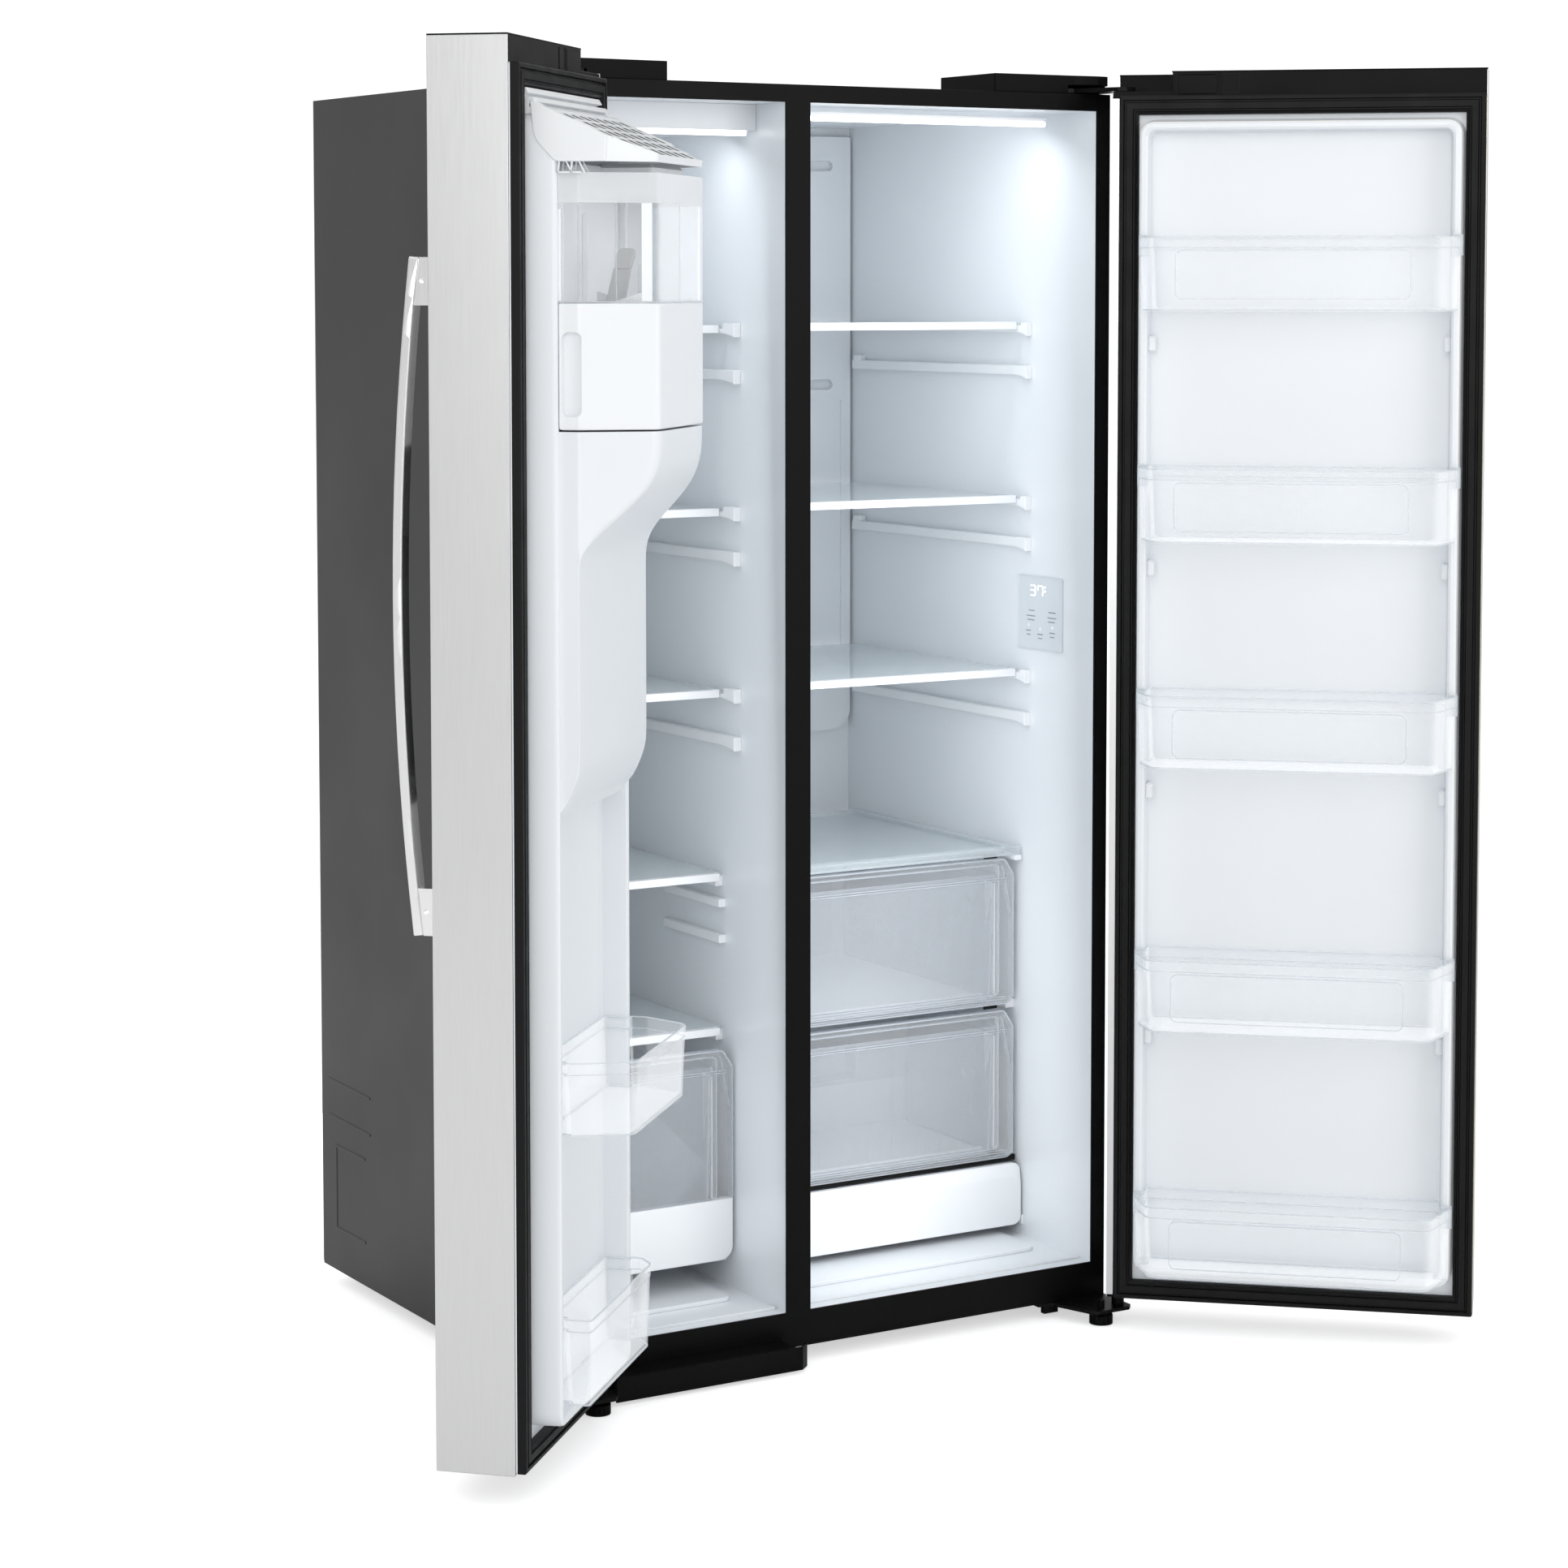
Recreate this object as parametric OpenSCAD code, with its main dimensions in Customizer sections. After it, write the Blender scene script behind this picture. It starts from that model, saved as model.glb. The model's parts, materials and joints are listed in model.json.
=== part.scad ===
// Side by side refrigerator with an in-door ice maker and an outside dispenser.
// Millimetres. X runs to the right seen from the front, Y to the back, Z up.
// Origin: on the floor, midway between the side panels, in the plane of the case's front frame.
// Both doors are drawn closed and then swung open about their hinge pins.

/* [Case] */
// Width over the side panels
case_w = 908; // [890:1:930]
// Depth of the case without its doors
case_d = 746; // [720:1:780]
// Height of the top panel
case_top = 1764; // [1764:1:1780]
// Height of the bottom edge of the side panels
case_bottom = 23; // [20:1:26]
// Centre of the post between the two compartments
post_x = -65.5; // [-80:0.5:-50]
// Width of that post
post_w = 39; // [34:1:44]

/* [Doors] */
// Front face of the steel door skins
door_front = -116; // [-125:1:-105]
// Thickness of the steel door body
door_depth = 102; // [90:1:110]
// Bottom edge of the doors
door_bottom = 42; // [40:1:50]
// Top of the doors' foam, under the caps
door_top = 1758; // [1750:1:1758]
// Top of the door caps and hinge covers
cap_top = 1792; // [1788:1:1800]
// Distance of each hinge axis from the middle
hinge_x = 441.4; // [438:0.1:443]
// Hinge axis in front of the case
hinge_y = -52; // [-56:1:-50]
// How far the freezer door stands open
freezer_door_angle = 134.3; // [0:0.1:140]
// How far the fresh food door stands open
fridge_door_angle = 137.6; // [0:0.1:140]

/* [Handles] */
// Height of the handle's lower end
handle_low = 700; // [650:1:760]
// Height of the handle's upper end
handle_high = 1527; // [1450:1:1560]
// Distance of the bar's middle from the door
handle_reach = 53; // [40:1:58]
// Distance of the bar's ends from the door
handle_end_reach = 29; // [18:1:34]

/* [Inside] */
// Depth of both compartments
cavity_d = 675; // [640:1:690]
// Front of the machine compartment
machine_y = 500; // [480:1:520]
// Top of the machine compartment
machine_top = 250; // [230:1:270]

/* [Hidden] */
$fn = 48;

sheet = 1;
liner_t = 2;
frame_t = 3;
frame_side = 23;
frame_top = 24;
frame_bottom = 50;
half_w = case_w / 2;
rear_y = case_d - 2;
cavity_z0 = case_bottom + frame_bottom;
cavity_z1 = case_top - frame_top;
freezer_x0 = -half_w + frame_side;
freezer_x1 = post_x - post_w / 2;
fridge_x0 = post_x + post_w / 2;
fridge_x1 = half_w - frame_side;
step_y = machine_y - 32;
step_z = machine_top + 12;
cheek = 10;

door_rear = door_front + door_depth;
skin_top = cap_top - 2;
door_split = post_x - 1;
door_gap = 4;
freezer_door_x0 = -half_w;
freezer_door_x1 = door_split - door_gap / 2;
fridge_door_x0 = door_split + door_gap / 2;
fridge_door_x1 = half_w;
gasket_face = -0.4;
gasket_w = 27;
dyke_y = 35;
recess_y = -2;
flange_t = 2;
gasket_z0 = door_bottom + 2.5;
gasket_z1 = door_top - 0.5;
dyke_z0 = 92;
dyke_z1 = 1721;
dyke_rim = 14;

steel = [0.76, 0.76, 0.77];
charcoal = [0.22, 0.22, 0.23];
black = [0.05, 0.05, 0.05];
white = [0.93, 0.94, 0.95];
clear = [0.85, 0.90, 0.93, 0.4];
galvanised = [0.6, 0.62, 0.63];
foam_yellow = [0.9, 0.84, 0.6];

// Shelves and rails, heights of their top faces
freezer_shelf_z = [1436, 1180, 925, 665, 445];
fridge_shelf_z = [1440, 1184, 927];
spare_rail_z = [1375, 1121, 862];
glass_t = 4;
freezer_shelf_y = 160;
fridge_shelf_y = 180;
shelf_rear = 640;
air_channel_z = 1704;
filter_cover_z0 = 90;
filter_cover_z1 = 184;
filter_pin_y = 180;
filter_pin_z = 97;
filter_pin_r = 3;

// Door bins, heights of their floors
fridge_bin_z = [1457, 1138, 824, 455, 107];
fridge_bin_h = 102;
bin_wall = 2.5;

// Drawers: [x0, x1, y0, y1, z0, z1]
upper_crisper_box = [-34, 419, 185, 640, 428, 636];
lower_crisper_box = [-34, 419, 185, 455, 196, 408];
freezer_drawer_box = [-419, -97, 152, 455, 124, 412];
drawer_wall = 2.5;

// Ice maker, ice bin and dispenser
housing_top = 1316;
housing_front = 150;
bulge_front = 60;
bin_base_z = 1318;
bin_base_top = 1471;
bin_top = 1634;
auger_y = 76;
auger_z = 1459;
auger_r = 60;
disp_x0 = -355;
disp_x1 = -165;
disp_z0 = 870;
disp_z1 = 1180;
disp_back = 40;
tub_t = 2.5;
chute_x0 = -285;
chute_x1 = -225;
chute_y0 = -6;
chute_y1 = 46;
paddle_y = 6;
paddle_z = 1156;
paddle_pin_r = 3;

hinge_pin_r = 5;
running_gap = 0.05;
foot_x = 409;
foot_y = -56;
roller_x = 400;
roller_y = 700;
roller_r = 20;
fan_x = -70;
fan_y = 622;
fan_z = 118;
water_x = 400;
water_z = 120;
water_bore_r = 3.25;
grommet_x = -380;
grommet_z = 150;

// ---- Shapes that repeat ----

// Block between two corners
module block(low, high) {
    translate(low) cube(high - low);
}

// Flat rounded rectangle
module rounded(low, high, r) {
    translate([low[0] + r, low[1]]) square([high[0] - low[0] - 2 * r, high[1] - low[1]]);
    translate([low[0], low[1] + r]) square([high[0] - low[0], high[1] - low[1] - 2 * r]);
    for (x = [low[0] + r, high[0] - r]) {
        for (y = [low[1] + r, high[1] - r]) {
            translate([x, y]) circle(r);
        }
    }
}

// Rounded rectangle in X and Z, from y0 to y1
module upright(x0, x1, z0, z1, y0, y1, r) {
    translate([0, y1, 0])
        rotate([90, 0, 0])
            linear_extrude(y1 - y0) rounded([x0, z0], [x1, z1], r);
}

// Outline in Y and Z, from x0 to x1
module along_x(x0, x1, points) {
    translate([x0, 0, 0])
        rotate([90, 0, 90])
            linear_extrude(x1 - x0) polygon(points);
}

// Outline in X and Y, from z0 to z1
module plan(z0, z1, points) {
    translate([0, 0, z0]) linear_extrude(z1 - z0) polygon(points);
}

module both_sides() {
    children();
    mirror([1, 0, 0]) children();
}

module rod_x(x0, x1, y, z, r) {
    translate([x0, y, z]) rotate([0, 90, 0]) cylinder(h = x1 - x0, r = r);
}

module rod_y(y0, y1, x, z, r) {
    translate([x, y1, z]) rotate([90, 0, 0]) cylinder(h = y1 - y0, r = r);
}

module rod_z(z0, z1, x, y, r) {
    translate([x, y, z0]) cylinder(h = z1 - z0, r = r);
}

module swing_freezer_door() {
    translate([-hinge_x, hinge_y, 0])
        rotate([0, 0, -freezer_door_angle])
            translate([hinge_x, -hinge_y, 0]) children();
}

module swing_fridge_door() {
    translate([hinge_x, hinge_y, 0])
        rotate([0, 0, fridge_door_angle])
            translate([-hinge_x, -hinge_y, 0]) children();
}

// ---- Case ----

// Side section of a compartment, grown outwards by t, from y = front
function cavity_section(t, front) = [
    [front, cavity_z0 - t], [step_y + t, cavity_z0 - t], [step_y + t, step_z - t],
    [cavity_d + t, step_z - t], [cavity_d + t, cavity_z1 + t], [front, cavity_z1 + t]
];

module cavity(x0, x1, t, front) {
    along_x(x0 - t, x1 + t, cavity_section(t, front));
}

module embossing() {
    rib_h = 0.8;
    for (z = [252, 306]) {
        along_x(-half_w - rib_h, -half_w, [[571, z - 2], [720, z + 1], [720, z + 5], [571, z + 2]]);
    }
    difference() {
        block([-half_w - rib_h, 590, 86], [-half_w, 696, 214]);
        block([-half_w - 2, 586, 90], [-half_w + 1, 692, 210]);
    }
}

module outer_case() color(charcoal) {
    difference() {
        block([-half_w, frame_t, case_bottom], [half_w, rear_y, case_top]);
        block([-half_w + sheet, 0, case_bottom + sheet], [half_w - sheet, case_d, case_top - sheet]);
        block([-half_w + cheek + sheet, machine_y, 0], [half_w - cheek - sheet, case_d, case_bottom + 5]);
    }
    along_x(-half_w + cheek + sheet, half_w - cheek - sheet, [
        [machine_y - sheet, case_bottom + sheet / 2], [machine_y, case_bottom + sheet / 2],
        [machine_y, machine_top], [rear_y, machine_top], [rear_y, machine_top + sheet],
        [machine_y - sheet, machine_top + sheet]
    ]);
    both_sides() embossing();
}

module foam_insulation() color(foam_yellow) {
    inset = half_w - sheet;
    difference() {
        block([-inset, frame_t, case_bottom + sheet], [inset, rear_y, case_top - sheet]);
        cavity(freezer_x0, freezer_x1, liner_t, 0);
        cavity(fridge_x0, fridge_x1, liner_t, 0);
        block([-inset + cheek, machine_y - sheet, 0], [inset - cheek, case_d, machine_top + sheet]);
    }
}

module liner(x0, x1) {
    difference() {
        cavity(x0, x1, liner_t, frame_t);
        cavity(x0, x1, 0, 0);
    }
}

module freezer_liner() color(white) liner(freezer_x0, freezer_x1);

module fridge_liner() color(white) liner(fridge_x0, fridge_x1);

module front_frame() color(black) {
    difference() {
        block([-half_w, 0, case_bottom], [half_w, frame_t, case_top]);
        block([freezer_x0, -1, cavity_z0], [freezer_x1, frame_t + 1, cavity_z1]);
        block([fridge_x0, -1, cavity_z0], [fridge_x1, frame_t + 1, cavity_z1]);
    }
}

module rear_panel() color(galvanised) {
    difference() {
        block([-half_w, rear_y, machine_top], [half_w, case_d, case_top]);
        for (z = [420 : 260 : 1460]) {
            for (x = [-300, 300]) {
                rod_y(rear_y - 1, case_d + 1, x, z, 3);
            }
        }
    }
}

module compressor_cover() color(galvanised) {
    slot_w = 60;
    difference() {
        block([-half_w + 12, rear_y, case_bottom + 4], [half_w - 12, case_d, machine_top - 0.5]);
        for (column = [-3 : 1]) {
            for (row = [0 : 7]) {
                x = column * (slot_w + 16);
                z = 70 + row * 19;
                block([x, rear_y - 1, z], [x + slot_w, case_d + 1, z + 7]);
            }
        }
        rod_y(rear_y - 1, case_d + 1, water_x, water_z, 11);
        rod_y(rear_y - 1, case_d + 1, grommet_x, grommet_z, 14);
    }
}

module base_plate() color(galvanised) {
    plate_z0 = 44;
    reach = half_w - cheek - sheet;
    difference() {
        block([-reach, machine_y, plate_z0], [reach, rear_y, plate_z0 + 2]);
        both_sides() block([roller_x - 14, roller_y - 24, 0], [roller_x + 14, roller_y + 24, 60]);
    }
    both_sides() {
        for (x = [roller_x - 16, roller_x + 12]) {
            block([x, roller_y - 14, 10], [x + 4, roller_y + 14, plate_z0]);
        }
        rod_x(roller_x - 13, roller_x + 13, roller_y, roller_r, 4);
    }
}

module compressor() color(black) {
    translate([220, 620, 58]) {
        rotate_extrude($fn = 64)
            polygon([[0, 0], [66, 0], [76, 12], [76, 66], [80, 66], [80, 74], [76, 74],
                     [74, 100], [62, 124], [40, 136], [0, 140]]);
        for (angle = [45, 135, 225, 315]) {
            rotate([0, 0, angle]) {
                translate([52, -14, 2]) cube([52, 28, 4]);
                translate([92, 0, -12]) cylinder(h = 14, r = 9);
            }
        }
        translate([50, 0, 110]) rotate([0, 40, 0]) cylinder(h = 46, r = 4);
        translate([-70, -20, 40]) rotate([0, -90, 0]) cylinder(h = 40, r = 4);
    }
}

module condenser() color([0.35, 0.35, 0.37]) {
    // Coil: a pack of fins on a solid core, with the tube's ends
    difference() {
        block([-325, 548, 62], [-140, 698, 190]);
        for (x = [-318 : 15 : -150]) {
            block([x, 540, 66], [x + 9, 556, 186]);
            block([x, 690, 66], [x + 9, 706, 186]);
        }
    }
    for (z = [84 : 28 : 168]) {
        rod_x(-338, -324, 600, z, 4);
    }
    // Ring round the fan, with the motor on its struts and the motor's shaft
    difference() {
        block([fan_x - 12, 528, 46], [fan_x + 12, 716, 206]);
        rod_x(fan_x - 20, fan_x + 20, fan_y, fan_z, 70);
    }
    rod_x(fan_x + 30, fan_x + 60, fan_y, fan_z, 24);
    rod_x(fan_x - 10, fan_x + 31, fan_y, fan_z, 3);
    for (z = [fan_z - 24, fan_z + 20]) {
        block([fan_x + 34, 530, z], [fan_x + 44, 714, z + 4]);
        for (y = [530, 702]) {
            block([fan_x + 11, y, z], [fan_x + 40, y + 12, z + 4]);
        }
    }
}

module condenser_fan() color([0.2, 0.2, 0.2]) {
    difference() {
        union() {
            rod_x(fan_x - 9, fan_x + 9, fan_y, fan_z, 18);
            translate([fan_x, fan_y, fan_z])
                for (blade = [0 : 4]) {
                    rotate([blade * 72, 0, 0])
                        translate([0, 0, 14])
                            rotate([0, 0, 30]) translate([-1, -16, 0]) cube([2, 32, 48]);
                }
        }
        rod_x(fan_x - 20, fan_x + 20, fan_y, fan_z, 3 + running_gap);
    }
}

module drain_pan() color(black) {
    difference() {
        block([-345, 535, 46.2], [-115, 715, 60]);
        block([-342, 538, 48.5], [-118, 712, 61]);
    }
}

module water_valve() color(white) {
    difference() {
        union() {
            block([water_x - 18, 690, water_z - 22], [water_x + 18, 726, water_z + 22]);
            rod_y(724, case_d, water_x, water_z, 8);
            rod_z(water_z + 20, water_z + 34, water_x, 706, 10);
        }
        rod_y(716, case_d + 1, water_x, water_z, water_bore_r);
    }
    block([water_x + 16, 700, water_z - 10], [half_w - cheek - sheet, 716, water_z + 10]);
}

module cord_grommet() color(black) {
    difference() {
        union() {
            rod_y(rear_y - 3, case_d, grommet_x, grommet_z, 13.9);
            rod_y(rear_y - 6, rear_y - 1, grommet_x, grommet_z, 17);
        }
        rod_y(rear_y - 8, case_d + 1, grommet_x, grommet_z, 4.5);
    }
}

module kick_plate() color(black) {
    x0 = -376;
    x1 = -72;
    lip = 3;
    difference() {
        translate([0, 0, 5]) linear_extrude(33) polygon([
            [x0, -46], [x1 - 14, -46], [x1, -34], [x1, -0.2], [x1 - lip, -0.2], [x1 - lip, -33],
            [x1 - 15, -46 + lip], [x0, -46 + lip]
        ]);
        translate([x1 - 26, -30, 24]) cube([40, 40, 20]);
        rod_x(x1 - 10, x1 + 5, -12, 14, 2.5);
    }
    block([x0, -46 + lip, 35], [x1 - 26, -0.2, 38]);
    for (x = [x0 + 40, -224, x1 - 60]) {
        block([x, -44, 14], [x + lip, -0.2, 36]);
    }
}

// ---- Hinges and feet ----

module top_hinges() color(black) {
    arm_z0 = case_top + 1.6;
    arm_z1 = arm_z0 + 6;
    both_sides() {
        difference() {
            union() {
                plan(arm_z0, arm_z1, [
                    [330, 20], [396, 8], [424, hinge_y - 8], [434, hinge_y - 15], [449, hinge_y - 15],
                    [454, hinge_y - 8], [454, 130], [330, 130]
                ]);
                block([332, 24, case_top], [452, 128, arm_z0 + 1]);
                rod_z(case_top - 26, arm_z0 + 1, hinge_x, hinge_y, hinge_pin_r);
            }
            for (x = [352, 400]) {
                for (y = [50, 105]) {
                    rod_z(case_top - 1, arm_z1 + 1, x, y, 3.5);
                }
            }
        }
        for (x = [352, 400]) {
            for (y = [50, 105]) {
                rod_z(arm_z1, arm_z1 + 4, x, y, 6);
            }
        }
    }
}

module hinge_covers() color(black) {
    wall = 2.5;
    top_z = cap_top - 2;
    both_sides() {
        difference() {
            plan(case_top + 0.1, top_z, [
                [262, 10], [262, 150], [452, 150], [454, 148], [454, 6], [434, 2], [396, 6]
            ]);
            plan(case_top - 1, top_z - wall, [
                [262 + wall, 10 + wall], [262 + wall, 150 - wall], [454 - wall, 150 - wall],
                [454 - wall, 8], [434, 5], [396, 9]
            ]);
            block([385, -10, case_top - 1], [460, 12, case_top + 12]);
            block([451, -10, case_top - 1], [460, 134, case_top + 8.6]);
        }
    }
}

module lower_hinges() color(black) {
    plate_z0 = case_bottom - 5;
    both_sides() {
        difference() {
            plan(plate_z0, case_bottom, [
                [340, 40], [340, 2], [362, -4], [384, -66], [392, -74], [446, -74], [454, -66], [454, 40]
            ]);
            rod_z(plate_z0 - 1, case_bottom + 1, foot_x, foot_y, hinge_pin_r + 0.1);
        }
        rod_z(case_bottom - 1, door_bottom - 0.3, hinge_x, hinge_y, 9);
        rod_z(door_bottom - 1, door_bottom + 16, hinge_x, hinge_y, hinge_pin_r);
        rod_z(6, plate_z0 + 1, 436, -38, 4);
        block([348, -1, 8], [372, 8, plate_z0 + 1]);
    }
}

module front_feet() color(black) {
    both_sides() {
        difference() {
            rod_z(0, 13, foot_x, foot_y, 17);
            for (notch = [0 : 15]) {
                translate([foot_x, foot_y, 3])
                    rotate([0, 0, notch * 22.5]) translate([16, -1, 0]) cube([3, 2, 12]);
            }
        }
        rod_z(12, 34, foot_x, foot_y, hinge_pin_r);
    }
}

module roller(x) {
    difference() {
        rod_x(x - 10, x + 10, roller_y, roller_r, roller_r);
        rod_x(x - 12, x + 12, roller_y, roller_r, 4 + running_gap);
        for (side = [x - 11, x + 8]) {
            difference() {
                rod_x(side, side + 3, roller_y, roller_r, roller_r - 4);
                rod_x(side - 1, side + 4, roller_y, roller_r, 8);
            }
        }
    }
}

module left_roller() color([0.3, 0.3, 0.3]) roller(-roller_x);

module right_roller() color([0.3, 0.3, 0.3]) roller(roller_x);

// ---- Compartment fittings ----

module light_strips() color([1, 1, 0.95]) {
    strip = 10;
    upright(fridge_x0 + 14, fridge_x1 - 31, cavity_z1 - strip - 4, cavity_z1 - 4, 70, 88, 4);
    block([fridge_x0 + 20, 74, cavity_z1 - 5], [fridge_x1 - 40, 84, cavity_z1]);
    upright(freezer_x0 + 10, freezer_x1 - 10, air_channel_z - 7, air_channel_z, 82, 94, 3);
}

module control_panel() color([0.9, 0.92, 0.93]) {
    along_x(fridge_x1 - 2, fridge_x1, [[78, 958], [190, 958], [190, 1064], [78, 1064]]);
}

// Panel over the whole rear wall of the fresh food side, with vents on both sides of a sunk field
module air_duct() color(white) {
    front = cavity_d - 14;
    x0 = fridge_x0 + 5;
    x1 = fridge_x1 - 5;
    difference() {
        union() {
            block([x0, front, 830], [x1, cavity_d - 0.3, cavity_z1 - 14]);
            upright(x0, x1, 786, 900, front, cavity_d - 0.3, 34);
        }
        for (z = [1680, 1336]) {
            for (x = [x0 + 33, x1 - 91]) {
                upright(x, x + 58, z - 8, z + 8, front - 1, front + 10, 7.9);
            }
        }
        block([x0 + 17, front - 1, 852], [x1 - 17, front + 3, 1311]);
    }
}

// Rear cover of the freezer, with the air channel that runs forward under its ceiling
module evaporator_cover() color(white) {
    x0 = freezer_x0 + 0.5;
    x1 = freezer_x1 - 0.5;
    front = cavity_d - 18;
    channel_front = 80;
    wall = 3;
    difference() {
        union() {
            upright(x0, x1, step_z + 8, cavity_z1 - 6, front, cavity_d - 0.5, 6);
            block([x0, channel_front, air_channel_z], [x1, front + 1, cavity_z1 - 0.3]);
        }
        block([x0 + wall, channel_front + wall, air_channel_z + wall], [x1 - wall, front - 2, cavity_z1 + 1]);
        for (z = [1620, 1300, 1040]) {
            for (x = [-380 : 50 : -180]) {
                upright(x, x + 36, z, z + 14, front - 1, front + 10, 5);
            }
        }
    }
}

module pane(x0, x1, y0, y1, top) {
    block([x0, y0, top - glass_t], [x1, y1, top]);
}

module glass_shelves() color(clear) {
    for (z = freezer_shelf_z) {
        pane(freezer_x0 + 3, freezer_x1 - 5, freezer_shelf_y + 8, shelf_rear, z);
    }
    for (z = fridge_shelf_z) {
        pane(fridge_x0 + 3, fridge_x1 - 6, fridge_shelf_y + 8, shelf_rear, z - 2);
    }
}

// Moulded strip that holds a pane's edge
module edge_trim(x0, x1, y, top, depth) {
    difference() {
        block([x0, y, top - 10], [x1, y + depth, top + 1]);
        block([x0 - 1, y + depth - 4, top - glass_t], [x1 + 1, y + depth + 1, top]);
    }
}

module shelf_trims() color(white) {
    for (z = freezer_shelf_z) {
        edge_trim(freezer_x0 + 14, freezer_x1 - 14, freezer_shelf_y, z, 12);
    }
    for (z = fridge_shelf_z) {
        edge_trim(fridge_x0 + 14, fridge_x1 - 14, fridge_shelf_y, z - 2, 12);
    }
}

// Rail on one wall: a ledge, step below the top, with a front bracket that flares downwards
module rail(x0, x1, front, rear, top, bracket, step) {
    flare = 6;
    under = top - 14;
    flare_y = front + bracket + 20;
    block([x0, flare_y, under], [x1, rear, top - step]);
    along_x(x0, x1, concat(
        [[front, top]],
        [for (t = [0 : 0.2 : 1]) [front + (flare_y + 0.5 - front) * t, under - flare * (1 - t) * (1 - t)]],
        step > 0 ? [[flare_y + 0.5, top - step], [front + bracket, top - step], [front + bracket, top]]
                 : [[flare_y + 0.5, top]]
    ));
    // Clip at the rear of a rail that holds no shelf
    if (step == 0) {
        block([x0, rear - 24, top - 1], [x1, rear - 4, top + 8]);
    }
}

module shelf_rails() color(white) {
    rail_w = 12;
    for (i = [0 : 2]) {
        for (x = [freezer_x0, freezer_x1 - rail_w]) {
            rail(x, x + rail_w, 123, 640, freezer_shelf_z[i] + 4, 30, 8.2);
            rail(x, x + rail_w, 123, 640, spare_rail_z[i], 30, 0);
        }
        for (x = [fridge_x0, fridge_x1 - rail_w]) {
            rail(x, x + rail_w, 160, 645, fridge_shelf_z[i] - 2, 14, glass_t + 0.2);
            rail(x, x + rail_w, 160, 645, spare_rail_z[i], 14, 0);
        }
    }
    // Ledges under the two low freezer shelves
    for (top = [665, 445]) {
        for (x = [freezer_x0, freezer_x1 - rail_w]) {
            block([x, 176, top - 20], [x + rail_w, 640, top - glass_t - 0.2]);
        }
    }
    // Spare drawer hooks on the post side
    for (z = [628, 577]) {
        block([freezer_x1 - rail_w, 166, z - 12], [freezer_x1, 330, z]);
    }
    // Ledges under the drawers
    for (x = [fridge_x0, fridge_x1 - rail_w - 4]) {
        block([x, 200, 414], [x + rail_w + 4, 640, upper_crisper_box[4] - 0.3]);
        block([x, 200, 184], [x + rail_w + 4, step_y - 8, lower_crisper_box[4] - 0.3]);
        block([x, 176, 640], [x + rail_w, 640, 647.8]);
    }
    for (x = [freezer_x0, freezer_x1 - rail_w - 4]) {
        block([x, 166, 110], [x + rail_w + 4, step_y - 8, freezer_drawer_box[4] - 0.3]);
    }
    // Cups for the filter cover's pins
    for (x = [[fridge_x0, fridge_x0 + 5], [fridge_x1 - 3.5, fridge_x1]]) {
        difference() {
            block([x[0], filter_pin_y - 7, filter_pin_z - 7], [x[1], filter_pin_y + 7, filter_pin_z + 7]);
            rod_x(x[0] - 1, x[1] + 1, filter_pin_y, filter_pin_z, filter_pin_r + running_gap);
        }
    }
}

module crisper_lid() color(clear) {
    lid_z = 648;
    difference() {
        block([fridge_x0 + 3, fridge_shelf_y - 2, lid_z], [fridge_x1 - 6, shelf_rear, lid_z + 11]);
        block([fridge_x0 + 18, fridge_shelf_y + 18, lid_z + 6], [fridge_x1 - 21, shelf_rear - 15, lid_z + 12]);
        block([fridge_x0 + 18, fridge_shelf_y + 18, lid_z - 1], [fridge_x1 - 21, shelf_rear - 15, lid_z + 3]);
    }
}

module water_filter() color([0.85, 0.87, 0.9]) {
    rod_y(200, 400, 300, 140, 26);
    rod_y(186, 202, 300, 140, 18);
    block([284, 180, 136], [316, 188, 144]);
    rod_y(398, step_y - 4, 300, 140, 20);
    block([270, step_y - 24, cavity_z0], [330, step_y - 4, 122]);
}

module filter_cover() color(white) {
    x0 = fridge_x0 + 6;
    x1 = fridge_x1 - 4;
    wall = 4;
    difference() {
        upright(x0, x1, filter_cover_z0, filter_cover_z1, 172, 186, 14);
        upright(x0 + wall, x1 - wall, filter_cover_z0 + wall, filter_cover_z1 - wall, 176, 190, 11);
    }
    // Pivot pins
    rod_x(fridge_x0 + 0.5, x0 + wall, filter_pin_y, filter_pin_z, filter_pin_r);
    rod_x(x1 - wall, fridge_x1 - 0.5, filter_pin_y, filter_pin_z, filter_pin_r);
}

// ---- Drawers ----

// Open box with a rim round its top; b = [x0, x1, y0, y1, z0, z1]
module drawer(b, rim) {
    t = drawer_wall;
    difference() {
        union() {
            block([b[0], b[2], b[4]], [b[1], b[3], b[5]]);
            block([b[0] - rim, b[2], b[5] - 6], [b[1] + rim, b[3], b[5]]);
        }
        block([b[0] + t, b[2] + t, b[4] + t], [b[1] - t, b[3] - t, b[5] + 1]);
    }
}

module upper_crisper() color(clear) drawer(upper_crisper_box, 2);

module lower_crisper() color(clear) drawer(lower_crisper_box, 2);

module freezer_drawer() color(clear) drawer(freezer_drawer_box, 2);

module freezer_drawer_front() color(white) {
    b = freezer_drawer_box;
    difference() {
        upright(b[0] - 2, b[1] + 7, 118, 206, b[2] - 14, b[2] - 0.1, 12);
        upright(b[0] + 4, b[1] + 1, 124, 200, b[2] - 10, b[2] + 1, 8);
    }
}

// ---- Doors ----

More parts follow.
